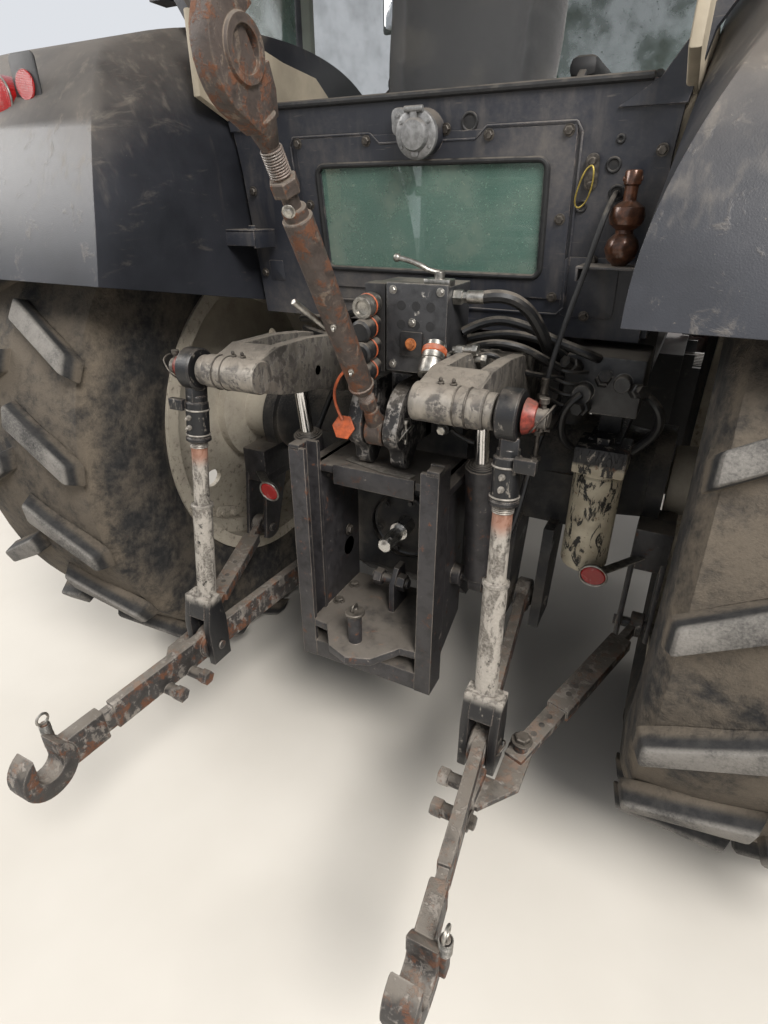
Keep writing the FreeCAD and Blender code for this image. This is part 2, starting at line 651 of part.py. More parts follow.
def rear_window():
    """Hung from the roof's rear edge and propped open."""
    hinge_y, hinge_z = SILL_Y - 17, ROOF_LOW - 40
    pane = slab(((-640, -590), (-470, -840), (470, -840), (640, -590), (650, -20), (-650, -20)),
                "y", 2, 2 + GLASS)
    tubes = [pipe((s * 560, 0, 0), (s * 600, 0, 0), 14, HINGE_R + FIT) for s in (-1, 1)]
    tabs = [box(*sorted((s * 560, s * 600)), -4, 2, -60, -10) for s in (-1, 1)]
    shape = fused([pane] + tubes + tabs)
    shape.rotate(V(0, 0, 0), V(1, 0, 0), -68)
    shape.translate(V(0, hinge_y, hinge_z))
    save("rear_window", shape)
    face = POST_C[1] - POST / 2 + 2
    ears = [box(x, x + 10, hinge_y - 12, face, hinge_z - 12, hinge_z + 24) for x in (548, 602)]
    return [fused(ears + [rod((548, hinge_y, hinge_z), (612, hinge_y, hinge_z), HINGE_R)])]


def interior():
    cushion = box(-240, 240, 120, 610, 1560, 1660)
    back = slab(((60, 1610), (180, 1610), (110, 2180), (0, 2180)), "x", -235, 235)
    base = box(-200, 200, 180, 560, DECK_Z + SEAT, 1562)
    save("seat", fused([cushion, back, base]))
    foot = FLOOR_Z + SEAT
    dash = slab(((1314, foot), (1314, 1740), (1090, 1700), (1060, 1600), (1180, 1500), (1180, foot)),
                "x", -190, 190)
    console = box(290, 500, 250, 850, DECK_Z + SEAT, 1700)
    save("side_console", console)
    wheel = fused([
        Part.makeTorus(200, 15, V(0, 0, 0), V(0, 0, 1)),
        rod((0, 0, -25), (0, 0, 12), 45),
        box(-200, 200, -12, 12, -12, 0),
        box(-12, 12, -200, 0, -12, 0),
    ])
    wheel.rotate(V(0, 0, 0), V(1, 0, 0), WHEEL_TILT)
    wheel.translate(V(0, WHEEL_Y, WHEEL_Z))
    save("steering_wheel", wheel)
    away = V(0, math.sin(math.radians(WHEEL_TILT)), -math.cos(math.radians(WHEEL_TILT)))
    hub = V(0, WHEEL_Y, WHEEL_Z)
    column = rod(tuple(hub + away * 240), tuple(hub + away * (25 + SEAT)), 24)
    save("dashboard", fused([dash, column]))


# Bonnet

def bonnet_section(y, w, low, top, r):
    k = r * (1 - math.sqrt(0.5))
    return outline(((-w, low), (w, low), (w, top - r), (w - k, top - k, w - r, top),
                    (-w + r, top), (-w + k, top - k, -w, top - r)), "y", y)


BONNET_ROWS = (  # place along Y, half width, top, corner radius
    (BONNET_REAR, 375.0, 1715.0, 120.0),
    (2300.0, 335.0, 1660.0, 120.0),
    (BONNET_FRONT, 315.0, 1520.0, 150.0),
)


def bonnet():
    low = 1040.0
    outer = Part.makeLoft([bonnet_section(y, w, low, top, r) for y, w, top, r in BONNET_ROWS],
                          True, True)
    t = BONNET_WALL
    rows = [(y - (t * 2 if y == BONNET_FRONT else 0), w - t, top - t, r - t) for y, w, top, r in BONNET_ROWS]
    rows[0] = (BONNET_REAR - 10,) + rows[0][1:]
    inner = Part.makeLoft([bonnet_section(y, w, low - 20, top, r) for y, w, top, r in rows], True, True)
    shell = outer.cut(inner)
    y, z = BONNET_HINGE_Y, BONNET_HINGE_Z
    hinge = fused([rod((250, y, z), (290, y, z), 14), box(250, 290, y - 10, y + 10, z, z + 50)])
    hinge = hinge.cut(rod((240, y, z), (300, y, z), HINGE_R + FIT))
    save("bonnet", fused([shell] + both(hinge)))
    wall = POST_A[1] + 10
    ears = [slab(((wall, z - 40), (wall, z - 10), (y - 30, z - 10), (y - 12, z + 10), (y + 12, z + 10),
                  (y + 12, z - 12), (y - 12, z - 22)), "x", x, x + 10) for x in (238, 292)]
    return [fused(ears + [rod((238, y, z), (302, y, z), HINGE_R)])]


# Rear linkage

def lower_link():
    """Flat bar with a ball at its front, a clevis for the lift rod and a claw hook."""
    front = (LINK_X, LINK_Y, LINK_Z)
    pin = (ROD_PIN_X, ROD_PIN_Y, ROD_PIN_Z)
    hook = (HOOK_X, HOOK_Y, HOOK_Z)

    def flat(a, b, wide, tall):
        a, b = V(*a), V(*b)
        run = b - a
        bar = Part.makeBox(wide, run.Length, tall, V(-wide / 2, 0, -tall / 2))
        pitch = math.degrees(math.asin(run.z / run.Length))
        yaw = math.degrees(math.atan2(-run.x, run.y))
        bar.rotate(V(0, 0, 0), V(1, 0, 0), pitch)
        bar.rotate(V(0, 0, 0), V(0, 0, 1), yaw)
        bar.translate(a)
        return bar

    eye_r = 36.0
    bar = fused([
        flat(front, pin, 26, 72),
        flat(pin, hook, 26, 78),
        rod((LINK_X - 24, LINK_Y, LINK_Z), (LINK_X + 24, LINK_Y, LINK_Z), eye_r + 6),
        rod((ROD_PIN_X - 20, ROD_PIN_Y, ROD_PIN_Z), (ROD_PIN_X + 20, ROD_PIN_Y, ROD_PIN_Z), 45),
        rod((HOOK_X - 28, HOOK_Y, HOOK_Z), (HOOK_X + 28, HOOK_Y, HOOK_Z), 65),
    ])
    bar = bar.cut(rod((HOOK_X - 40, HOOK_Y, HOOK_Z + 8), (HOOK_X + 40, HOOK_Y, HOOK_Z + 8), 29))
    bar = bar.cut(box(HOOK_X - 40, HOOK_X + 40, HOOK_Y - 26, HOOK_Y + 26, HOOK_Z + 8, HOOK_Z + 90))
    bar = bar.cut(rod((LINK_X - 40, LINK_Y, LINK_Z), (LINK_X + 40, LINK_Y, LINK_Z), LINK_PIN_R + FIT))
    bar = bar.fuse(rod((ROD_PIN_X - 46, ROD_PIN_Y, ROD_PIN_Z), (ROD_PIN_X + 46, ROD_PIN_Y, ROD_PIN_Z), ROD_PIN_R))
    stay = fused([
        rod((414, -680, 478), (640, LINK_Y, LINK_Z), 17),
        rod((385, -680, 478), (430, -680, 478), 26),
        rod((622, LINK_Y, LINK_Z), (658, LINK_Y, LINK_Z), 32),
    ])
    save_pair("lower_link", fused([bar, stay]))


def lift_rod():
    top = V(ARM_X, ARM_END_Y, ARM_END_Z)
    low = V(ROD_PIN_X, ROD_PIN_Y, ROD_PIN_Z)
    way = (low - top).normalize()

    def at(d):
        p = top + way * d
        return (p.x, p.y, p.z)

    length = (low - top).Length
    pieces = [
        rod(at(20), at(60), 14),
        rod(at(50), at(170), 26),
        rod(at(170), at(430), 19),
        rod(at(400), at(length - 120), 27),
        rod((ARM_X - 14, ARM_END_Y, ARM_END_Z), (ARM_X + 14, ARM_END_Y, ARM_END_Z), 34),
    ]
    fork = box(ROD_PIN_X - 42, ROD_PIN_X + 42, ROD_PIN_Y - 32, ROD_PIN_Y + 32,
               ROD_PIN_Z - 48, ROD_PIN_Z + 125)
    fork = fork.cut(box(ROD_PIN_X - 27, ROD_PIN_X + 27, ROD_PIN_Y - 60, ROD_PIN_Y + 60,
                        ROD_PIN_Z - 60, ROD_PIN_Z + 80))
    slot = slab(((ROD_PIN_Y - 24, ROD_PIN_Z - 30), (ROD_PIN_Y + 24, ROD_PIN_Z - 30),
                 (ROD_PIN_Y + 24, ROD_PIN_Z + 30), (ROD_PIN_Y - 24, ROD_PIN_Z + 30)),
                "x", ROD_PIN_X - 60, ROD_PIN_X + 60)
    body = fused(pieces + [fork]).cut(slot)
    body = body.cut(rod((ARM_X - 30, ARM_END_Y, ARM_END_Z), (ARM_X + 30, ARM_END_Y, ARM_END_Z), ROD_PIN_R + FIT))
    save_pair("lift_rod", body)


def lift_arms():
    shaft = rod((-300, SHAFT_Y, SHAFT_Z), (300, SHAFT_Y, SHAFT_Z), SHAFT_R)
    pieces = [shaft]
    for s in (-1, 1):
        side = ((SHAFT_Y, SHAFT_Z - 75), (SHAFT_Y + 75, SHAFT_Z, SHAFT_Y, SHAFT_Z + 75),
                (ARM_END_Y, ARM_END_Z + 36), (ARM_END_Y - 36, ARM_END_Z, ARM_END_Y, ARM_END_Z - 36))
        pieces.append(slab(side, "x", *sorted((s * 262, s * 302))))
        pieces.append(rod((s * 290, ARM_END_Y, ARM_END_Z), (s * 328, ARM_END_Y, ARM_END_Z), 36))
        pieces.append(rod((s * 290, ARM_END_Y, ARM_END_Z), (s * 380, ARM_END_Y, ARM_END_Z), ROD_PIN_R))
        pieces.append(rod((s * 362, ARM_END_Y, ARM_END_Z), (s * 380, ARM_END_Y, ARM_END_Z), 34))
        pieces.append(rod((s * 205, CYL_TOP_Y, CYL_TOP_Z), (s * 270, CYL_TOP_Y, CYL_TOP_Z), ROD_PIN_R))
    save("lift_arms", fused(pieces))


def lift_cylinders():
    low = V(CYL_X, CYL_LOW_Y, CYL_LOW_Z)
    top = V(CYL_X, CYL_TOP_Y, CYL_TOP_Z)
    way = (top - low).normalize()

    def at(d):
        p = low + way * d
        return (p.x, p.y, p.z)

    length = (top - low).Length
    barrel = fused([
        rod(at(20), at(350), 38),
        rod((CYL_X - 18, CYL_LOW_Y, CYL_LOW_Z), (CYL_X + 18, CYL_LOW_Y, CYL_LOW_Z), 32),
    ]).cut(rod(at(45), at(351), CYL_STEM_R + FIT))
    barrel = barrel.cut(rod((CYL_X - 30, CYL_LOW_Y, CYL_LOW_Z), (CYL_X + 30, CYL_LOW_Y, CYL_LOW_Z), ROD_PIN_R + FIT))
    save("lift_cylinder_barrels", *both(barrel))
    eye_y, eye_z = CYL_TOP_Y + EYE_SET_Y, CYL_TOP_Z + EYE_SET_Z
    stem = fused([
        rod(at(180), at(length - 25), CYL_STEM_R),
        rod(at(length - 60), at(length - 36), 20),
        rod((CYL_X - 15, eye_y, eye_z), (CYL_X + 15, eye_y, eye_z), 34),
    ])
    hole = rod((CYL_X - 30, eye_y, eye_z), (CYL_X + 30, eye_y, eye_z), ROD_PIN_R + EYE_PLAY)
    save("lift_cylinder_rods", *both(stem.cut(hole)))


def top_link():
    lean = math.radians(TOP_LINK_LEAN)
    way = V(0, -math.sin(lean), math.cos(lean))
    low = V(0, TOP_PIN_Y, TOP_PIN_Z)

    def at(d):
        p = low + way * d
        return (p.x, p.y, p.z)

    n = TOP_LINK_LENGTH
    pieces = [
        rod(at(28), at(260), 14),
        rod(at(180), at(n - 190), 24),
        rod(at(n - 230), at(n - 45), 14),
        rod((-22, TOP_PIN_Y, TOP_PIN_Z), (22, TOP_PIN_Y, TOP_PIN_Z), 34),
        rod((-22, at(n)[1], at(n)[2]), (22, at(n)[1], at(n)[2]), 58),
    ]
    body = fused(pieces)
    body = body.cut(rod((-30, at(n)[1], at(n)[2]), (30, at(n)[1], at(n)[2]), 27))
    body = body.cut(rod((-30, TOP_PIN_Y, TOP_PIN_Z), (30, TOP_PIN_Y, TOP_PIN_Z), TOP_PIN_R + FIT))
    save("top_link", body)


def hitch():
    rails = [box(*sorted((s * (RAIL_X - 22), s * (RAIL_X + 22))), RAIL_Y - 40, RAIL_Y + 30, 383, 1010)
             for s in (-1, 1)]
    side = [slab(((HOUSING_REAR - SEAT, 480), (HOUSING_REAR - SEAT, 900), (RAIL_Y, 900), (RAIL_Y, 400), (-480, 400)), "x",
                 *sorted((s * (RAIL_X - 18), s * (RAIL_X - 2)))) for s in (-1, 1)]
    top_plate = box(-195, 195, RAIL_Y + 28, HOUSING_REAR - SEAT, 930, 950)
    floor_plate = slab(((-160, HOUSING_REAR - SEAT), (-160, -592), (-110, -598), (-60, -668), (0, -690),
                        (60, -668), (110, -598), (160, -592), (160, HOUSING_REAR - SEAT)),
                       "z", HITCH_PLATE_Z - 27, HITCH_PLATE_Z)
    bar = box(-195, 195, RAIL_Y - 40, RAIL_Y + 20, 383, 440)
    pin = rod((-8, RAIL_Y - 66, HITCH_PLATE_Z - 5), (-8, RAIL_Y - 66, HITCH_PLATE_Z + 88), 18)
    feet = [rod((s * (RAIL_X + 10), CYL_LOW_Y, CYL_LOW_Z), (s * (CYL_X + 26), CYL_LOW_Y, CYL_LOW_Z),
                ROD_PIN_R) for s in (-1, 1)]
    cheeks = [rod((s * (RAIL_X - 18), CYL_LOW_Y, CYL_LOW_Z), (s * (RAIL_X + 22), CYL_LOW_Y, CYL_LOW_Z),
                  30) for s in (-1, 1)]
    save("hitch_frame", fused(rails + side + feet + cheeks + [top_plate, floor_plate, bar, pin]))
    ears = [slab(((HOUSING_REAR - SEAT, 950.5), (HOUSING_REAR - SEAT, 1110), (-440, 1140), (TOP_PIN_Y - 40, 1100), (TOP_PIN_Y - 40, 1010),
                  (-430, 950.5)), "x", *sorted((s * 26, s * 50))) for s in (-1, 1)]
    web = box(-50, 50, -360, HOUSING_REAR - SEAT, 951, 1100)
    axle = rod((-56, TOP_PIN_Y, TOP_PIN_Z), (56, TOP_PIN_Y, TOP_PIN_Z), TOP_PIN_R)
    save("top_link_bracket", fused(ears + [web, axle]))
    shoulder = PTO_END_Y + PTO_SPLINE
    stub = fused([rod((0, HOUSING_REAR + 55, PTO_Z), (0, shoulder, PTO_Z), PTO_COLLAR_R),
                  rod((0, shoulder + 10, PTO_Z), (0, PTO_END_Y, PTO_Z), PTO_R)])
    save("pto_shaft", stub)


def hydraulics():
    block = box(24, 162, -520, -340, 1230, 1380)
    couplers = [rod((-8, -430, z), (-8, -524, z - 12), 20) for z in (1215, 1260, 1305, 1350)]
    body = box(-30, 24, -450, -340, 1195, 1375)
    foot = box(0, 120, -345, -206, LIFT_TOP + SEAT, LIFT_TOP + 26)
    save("remote_valves", fused([block, body, foot] + couplers))
    head = REAR_TYRE_R + 137.0 + SEAT
    canister = fused([
        rod((478, -250, 690), (478, -250, 955), 56),
        rod((478, -250, 955), (478, -250, 1000), 66),
        box(440, 516, -250, 40, head, head + 30),
    ])
    save("oil_filter", canister)


def lamps():
    pod = rod((935, -400, 1740), (935, -610, 1740), 50)
    pod = pod.cut(slab(arch(-SEAT), "x", 800, 1200))
    save("tail_lamps", *both(pod))


os.makedirs("parts", exist_ok=True)
rear_wheel()
front_wheel()
front_axle()
steering()
rear_axle_housing()
engine()
save("front_drive_shaft", front_frame())
side_tanks()
exhaust()
fender()
fixed_glass(cab_rear_panel())
cab_frame(door() + rear_window() + bonnet())
cab_floor()
cab_roof()
interior()
lower_link()
lift_rod()
lift_arms()
lift_cylinders()
top_link()
hitch()
hydraulics()
lamps()
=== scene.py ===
import math

import bmesh
import bpy
from bpy.props import FloatProperty, FloatVectorProperty, IntProperty, PointerProperty
from mathutils import Matrix, Vector


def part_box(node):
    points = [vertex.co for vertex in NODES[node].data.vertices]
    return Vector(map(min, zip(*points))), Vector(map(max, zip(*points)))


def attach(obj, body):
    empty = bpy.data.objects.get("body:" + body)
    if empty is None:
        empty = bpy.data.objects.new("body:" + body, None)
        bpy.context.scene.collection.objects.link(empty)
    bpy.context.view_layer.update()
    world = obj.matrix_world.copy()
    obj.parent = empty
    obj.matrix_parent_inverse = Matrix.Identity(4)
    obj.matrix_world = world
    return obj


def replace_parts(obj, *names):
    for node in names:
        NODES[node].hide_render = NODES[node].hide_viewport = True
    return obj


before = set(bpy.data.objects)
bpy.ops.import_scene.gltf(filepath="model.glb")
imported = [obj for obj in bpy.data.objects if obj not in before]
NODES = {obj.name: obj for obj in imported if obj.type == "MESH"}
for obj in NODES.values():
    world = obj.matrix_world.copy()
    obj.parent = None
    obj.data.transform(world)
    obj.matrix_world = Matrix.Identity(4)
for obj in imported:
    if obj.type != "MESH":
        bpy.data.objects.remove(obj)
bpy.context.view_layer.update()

bl_info = {
    "name": "Farm Tractor",
    "version": (1, 0, 0),
    "blender": (4, 5, 0),
    "location": "3D View > Sidebar > Tractor",
    "description": "Finishes, fittings and stage for a farm tractor seen from its rear linkage",
    "category": "Object",
}

# Metres. X is the tractor's right, Y its front, Z up; the ground is at 0.
GROUND = 0.0
REAR_AXLE_Y = sum(c.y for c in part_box("rear_rim_left")) / 2
REAR_AXLE_Z = sum(c.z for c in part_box("rear_rim_left")) / 2
FRONT_AXLE_Y = sum(c.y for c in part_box("front_rim_left")) / 2
FRONT_AXLE_Z = sum(c.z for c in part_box("front_rim_left")) / 2

WHEELBASE = FRONT_AXLE_Y - REAR_AXLE_Y

# Places from the rear axle's line, as Y and Z
PANEL_LOW_Y = -0.22
PANEL_LOW_Z = 1.25
PANEL_LEAN = math.atan2(0.075, 0.475)
SILL_Z = 1.725
LIFT_ARM_X = 0.345
LIFT_ARM_END = (-0.690, 1.200)
ROD_PIN = (-0.760, 0.475)
TOP_PIN = (-0.500, 1.054)
TOP_LINK_LEAN = 32.0
TOP_LINK_LONG = 0.762
FILTER_HEAD_Z = 0.985
FILLER_Z = 1.010

# The photograph's view
CAMERA_AT = (0.61, REAR_AXLE_Y - 1.67, 1.52)
CAMERA_DOWN = 27.4
CAMERA_LEFT = 26.96
PHOTO_LONG_SIDE = 1024
FOCAL_PX = 589
FILM = 36.0


class TractorColours(bpy.types.PropertyGroup):
    """Paints and plastics that a user may change."""

    cab: FloatVectorProperty(name="Cab", description="Paint of the cab's steel", subtype="COLOR",
                             size=3, min=0, max=1, default=(0.016, 0.018, 0.025))
    body: FloatVectorProperty(name="Body", description="Paint of the bonnet", subtype="COLOR",
                              size=3, min=0, max=1, default=(0.45, 0.018, 0.016))
    rims: FloatVectorProperty(name="Rims", description="Paint of the wheels", subtype="COLOR",
                              size=3, min=0, max=1, default=(0.42, 0.38, 0.31))
    casting: FloatVectorProperty(name="Castings", description="Paint of axle, gearbox and frame",
                                 subtype="COLOR", size=3, min=0, max=1, default=(0.02, 0.02, 0.021))
    roof: FloatVectorProperty(name="Roof", description="Roof shell", subtype="COLOR",
                              size=3, min=0, max=1, default=(0.45, 0.018, 0.016))
    dust: FloatVectorProperty(name="Dust", description="Dry field dust on everything",
                              subtype="COLOR", size=3, min=0, max=1, default=(0.23, 0.20, 0.165))
    mud: FloatVectorProperty(name="Mud", description="Dried mud on tyres and low parts",
                             subtype="COLOR", size=3, min=0, max=1, default=(0.10, 0.082, 0.062))
    rust: FloatVectorProperty(name="Rust", description="Rust on worn steel", subtype="COLOR",
                              size=3, min=0, max=1, default=(0.16, 0.062, 0.028))


class Value:
    """A number or colour running through a material; arithmetic on a number adds Math nodes."""

    def __init__(self, finish, socket):
        self.finish = finish
        self.socket = socket

    def apply(self, operation, first, second=0.5):
        return self.finish.node("ShaderNodeMath", {"operation": operation}, {0: first, 1: second})

    def __add__(self, other):
        return self.apply("ADD", self, other)

    __radd__ = __add__

    def __mul__(self, other):
        return self.apply("MULTIPLY", self, other)

    __rmul__ = __mul__

    def __sub__(self, other):
        return self.apply("SUBTRACT", self, other)

    def __rsub__(self, other):
        return self.apply("SUBTRACT", other, self)

    def __truediv__(self, other):
        return self.apply("DIVIDE", self, other)

    def __pow__(self, other):
        return self.apply("POWER", self, other)

    def __abs__(self):
        return self.apply("ABSOLUTE", self)

    def least(self, other):
        return self.apply("MINIMUM", self, other)

    def most(self, other):
        return self.apply("MAXIMUM", self, other)


class Finish:
    """One material: a Principled shader and the nodes that vary it over the surface."""

    def __init__(self, name, sockets):
        self.material = bpy.data.materials.new(name)
        self.material.use_nodes = True
        self.tree = self.material.node_tree
        self.shader = self.tree.nodes["Principled BSDF"]
        self.fill(self.shader, sockets)
        self.where = self.node("ShaderNodeTexCoord", output="Object")

    def fill(self, node, sockets):
        for key, value in sockets.items():
            if isinstance(value, Value):
                self.tree.links.new(value.socket, node.inputs[key])
            elif isinstance(value, tuple) and len(value) == 3 and node.inputs[key].type == "RGBA":
                node.inputs[key].default_value = (*value, 1.0)
            else:
                node.inputs[key].default_value = value

    def node(self, kind, settings=None, sockets=None, output=0):
        made = self.tree.nodes.new(kind)
        for key, value in (settings or {}).items():
            setattr(made, key, value)
        self.fill(made, sockets or {})
        return Value(self, made.outputs[output])

    def mix(self, share, first, second):
        return self.node("ShaderNodeMix", {"data_type": "RGBA"}, {0: share, 6: first, 7: second}, 2)

    def rise(self, value, low, high, floor=0.0, top=1.0):
        """A smooth step from floor to top while the value goes from low to high."""
        return self.node("ShaderNodeMapRange", {"interpolation_type": "SMOOTHSTEP"},
                         {0: value, 1: low, 2: high, 3: floor, 4: top})

    def part(self, axis, vector=None):
        return self.node("ShaderNodeSeparateXYZ", sockets={0: vector or self.where}, output=axis)

    def scaled(self, scale, move=(0.0, 0.0, 0.0)):
        return self.node("ShaderNodeMapping", sockets={"Vector": self.where, "Scale": scale,
                                                       "Location": move})

    def clouds(self, size, detail=4.0, rough=0.55, stretch=None, twist=0.0):
        """Noise from 0 to 1 whose patches are about size metres across."""
        where = self.scaled(stretch) if stretch else self.where
        return self.node("ShaderNodeTexNoise", None,
                         {"Vector": where, "Scale": 1.0 / size, "Detail": detail,
                          "Roughness": rough, "Distortion": twist})

    def cells(self, size, feature="F1"):
        return self.node("ShaderNodeTexVoronoi", {"feature": feature},
                         {"Vector": self.where, "Scale": 1.0 / size})

    def facing(self, axis):
        """How far the surface faces along an axis, from -1 to 1."""
        normal = self.node("ShaderNodeTexCoord", output="Normal")
        return self.part(axis, normal)

    def edges(self, width):
        """Near 1 along edges, from the difference between the rounded and the true normal."""
        rounded = self.node("ShaderNodeBevel", {"samples": 4}, {"Radius": width})
        true = self.node("ShaderNodeNewGeometry", output="Normal")
        match = self.node("ShaderNodeVectorMath", {"operation": "DOT_PRODUCT"},
                          {0: rounded, 1: true}, "Value")
        return self.rise(1.0 - match, 0.01, 0.22)

    def crevices(self, reach):
        """Near 1 in corners and close gaps."""
        open_share = self.node("ShaderNodeAmbientOcclusion", {"samples": 4, "only_local": False},
                               {"Distance": reach}, "AO")
        return self.rise(open_share, 0.75, 0.25)

    def bump(self, height, depth, edge=0.0):
        """Relief of depth metres on top of edges rounded to a radius."""
        sockets = {"Height": height, "Distance": depth, "Strength": 1.0}
        if edge:
            sockets["Normal"] = self.node("ShaderNodeBevel", {"samples": 4}, {"Radius": edge})
        return self.node("ShaderNodeBump", None, sockets)

    def put(self, **sockets):
        names = {"colour": "Base Color", "roughness": "Roughness", "metallic": "Metallic",
                 "normal": "Normal", "coat": "Coat Weight", "alpha": "Alpha"}
        self.fill(self.shader, {names[key]: value for key, value in sockets.items()})
        return self.material


def painted_steel(name, colours, paint, gloss=0.42, dirt=1.0, chips=1.0, edge=0.0015):
    """Sprayed paint with dust on top faces, rain streaks, fine scratches, and chips on edges."""
    f = Finish(name, {"Roughness": gloss, "Specular IOR Level": 0.5})
    broad = f.clouds(0.35)
    fine = f.clouds(0.012, 6.0, 0.7)
    tone = f.mix(f.rise(broad, 0.3, 0.75), paint, tuple(c * 1.7 + 0.006 for c in paint))
    streaks = f.clouds(0.05, 5.0, 0.6, stretch=(1.0, 1.0, 0.12))
    up = f.rise(f.facing(2), -0.1, 0.95)
    settled = f.rise(broad + 0.35 * fine + 0.5 * up, 0.62, 1.15)
    film = f.rise(streaks, 0.48, 0.72) * 0.5
    dust = (settled * 0.6 + film * 0.35) * dirt
    scratch = f.rise(f.clouds(0.02, 3.0, 0.5, stretch=(0.35, 1.0, 6.0)), 0.69, 0.73)
    dust = dust.most(scratch * 0.30 * dirt)
    worn = f.edges(0.004) * f.rise(f.clouds(0.03, 5.0, 0.7), 0.50, 0.62) * chips
    colour = f.mix(dust, tone, tuple(colours.dust))
    colour = f.mix(worn, colour, (0.22, 0.19, 0.17))
    spots = f.rise(f.clouds(0.022, 7.0, 0.75), 0.70, 0.76) * chips
    colour = f.mix(spots * 0.7, colour, tuple(colours.rust))
    rough = gloss + 0.38 * dust + 0.15 * fine
    return f.put(colour=colour, roughness=rough, normal=f.bump(fine, 0.0004, edge))


def moulded_plastic(name, colours, base, gloss=0.5, dirt=1.0):
    """Dark moulded plastic: grained, dusty on top, scuffed in long pale marks."""
    f = Finish(name, {"Specular IOR Level": 0.45})
    grain = f.clouds(0.0025, 2.0, 0.5)
    broad = f.clouds(0.28, 5.0, 0.6)
    scuffs = f.rise(f.clouds(0.045, 6.0, 0.68, stretch=(1.0, 0.22, 1.0), twist=0.6), 0.56, 0.74)
    runs = f.rise(f.clouds(0.035, 4.0, 0.6, stretch=(1.0, 1.0, 0.10)), 0.52, 0.76)
    up = f.rise(f.facing(2), 0.05, 0.95)
    tone = f.mix(f.rise(broad, 0.3, 0.7), base, tuple(c * 1.8 + 0.008 for c in base))
    dust = (f.rise(broad * 0.6 + 0.5 * up + 0.2 * runs, 0.42, 1.0) * 0.55 + scuffs * 0.28) * dirt
    splash = f.rise(f.clouds(0.006, 3.0, 0.6), 0.72, 0.76) * f.rise(broad, 0.45, 0.6)
    dust = dust.most(splash * 0.5 * dirt)
    colour = f.mix(dust, tone, tuple(colours.dust))
    rough = gloss + 0.32 * dust + 0.08 * grain
    return f.put(colour=colour, roughness=rough, normal=f.bump(grain + 2.0 * scuffs, 0.0002, 0.002))


def cast_iron(name, colours, paint, dirt=1.0):
    """Rough painted casting: oily dark patches, caked dust in the corners and rusty flakes."""
    f = Finish(name, {"Specular IOR Level": 0.4})
    skin = f.clouds(0.006, 5.0, 0.65)
    broad = f.clouds(0.12, 5.0, 0.6)
    oil = f.rise(f.clouds(0.07, 4.0, 0.6), 0.55, 0.7)
    caked = f.crevices(0.05) * f.rise(broad, 0.25, 0.6)
    up = f.rise(f.facing(2), 0.2, 0.95)
    dust = (0.30 * f.rise(broad, 0.4, 0.75) + 0.55 * up * f.rise(skin + broad, 0.75, 1.15)
            + 0.55 * caked) * dirt * (1.0 - 0.6 * oil)
    colour = f.mix(dust, paint, tuple(colours.dust))
    flakes = f.rise(f.clouds(0.03, 7.0, 0.75), 0.66, 0.72)
    colour = f.mix(flakes * 0.55, colour, tuple(colours.rust))
    worn = f.edges(0.004) * f.rise(skin, 0.45, 0.6) * 0.6
    colour = f.mix(worn, colour, (0.20, 0.18, 0.16))
    rough = 0.62 + 0.25 * dust - 0.3 * oil
    return f.put(colour=colour, roughness=rough, normal=f.bump(skin + 0.5 * flakes, 0.0009, 0.003))


def worked_steel(name, colours, paint, bare=0.5, rusty=0.5):
    """Forged linkage steel: black paint worn off to bare metal, with brown rust and dust."""
    f = Finish(name, {"Specular IOR Level": 0.5})
    skin = f.clouds(0.004, 5.0, 0.7)
    patches = f.clouds(0.045, 6.0, 0.62)
    scrape = f.clouds(0.03, 5.0, 0.65, stretch=(1.0, 1.0, 0.25))
    edge = f.edges(0.006)
    shine = f.rise(0.55 * edge + 0.65 * scrape + 0.2 * skin, 0.78 - 0.2 * bare, 0.98 - 0.2 * bare)
    rust = f.rise(patches + 0.3 * skin, 0.86 - 0.2 * rusty, 1.0 - 0.2 * rusty)
    tone = f.mix(f.rise(patches, 0.35, 0.7), paint, tuple(c * 2.2 + 0.01 for c in paint))
    colour = f.mix(rust * 0.85, tone, f.mix(skin, tuple(colours.rust), (0.09, 0.045, 0.028)))
    colour = f.mix(shine * 0.8, colour, (0.34, 0.32, 0.30))
    up = f.rise(f.facing(2), 0.1, 0.95)
    dust = f.rise(0.5 * up + f.clouds(0.09, 5.0, 0.6), 0.72, 1.05) * 0.6
    colour = f.mix(dust, colour, tuple(colours.dust))
    rough = 0.52 + 0.3 * dust + 0.2 * rust - 0.16 * shine
    return f.put(colour=colour, roughness=rough, metallic=shine * 0.85 * (1.0 - dust),
                 normal=f.bump(skin + rust, 0.0006, 0.002))


def bright_steel(name, colours, tone=(0.55, 0.54, 0.52), rough=0.24, grime_and_shade=0.5):
    """Turned or plated steel with dirt patches and faint machining marks."""
    f = Finish(name, {"Metallic": 1.0})
    marks = f.clouds(0.004, 3.0, 0.6, stretch=(1.0, 0.1, 1.0))
    patches = f.clouds(0.03, 6.0, 0.65)
    dirt = f.rise(patches, 0.62 - 0.2 * grime_and_shade, 0.8 - 0.2 * grime_and_shade)
    colour = f.mix(dirt * 0.8, tone, (0.10, 0.08, 0.06))
    return f.put(colour=colour, roughness=rough + 0.4 * dirt + 0.08 * marks,
                 metallic=1.0 - 0.8 * dirt, normal=f.bump(marks, 0.0001, 0.001))


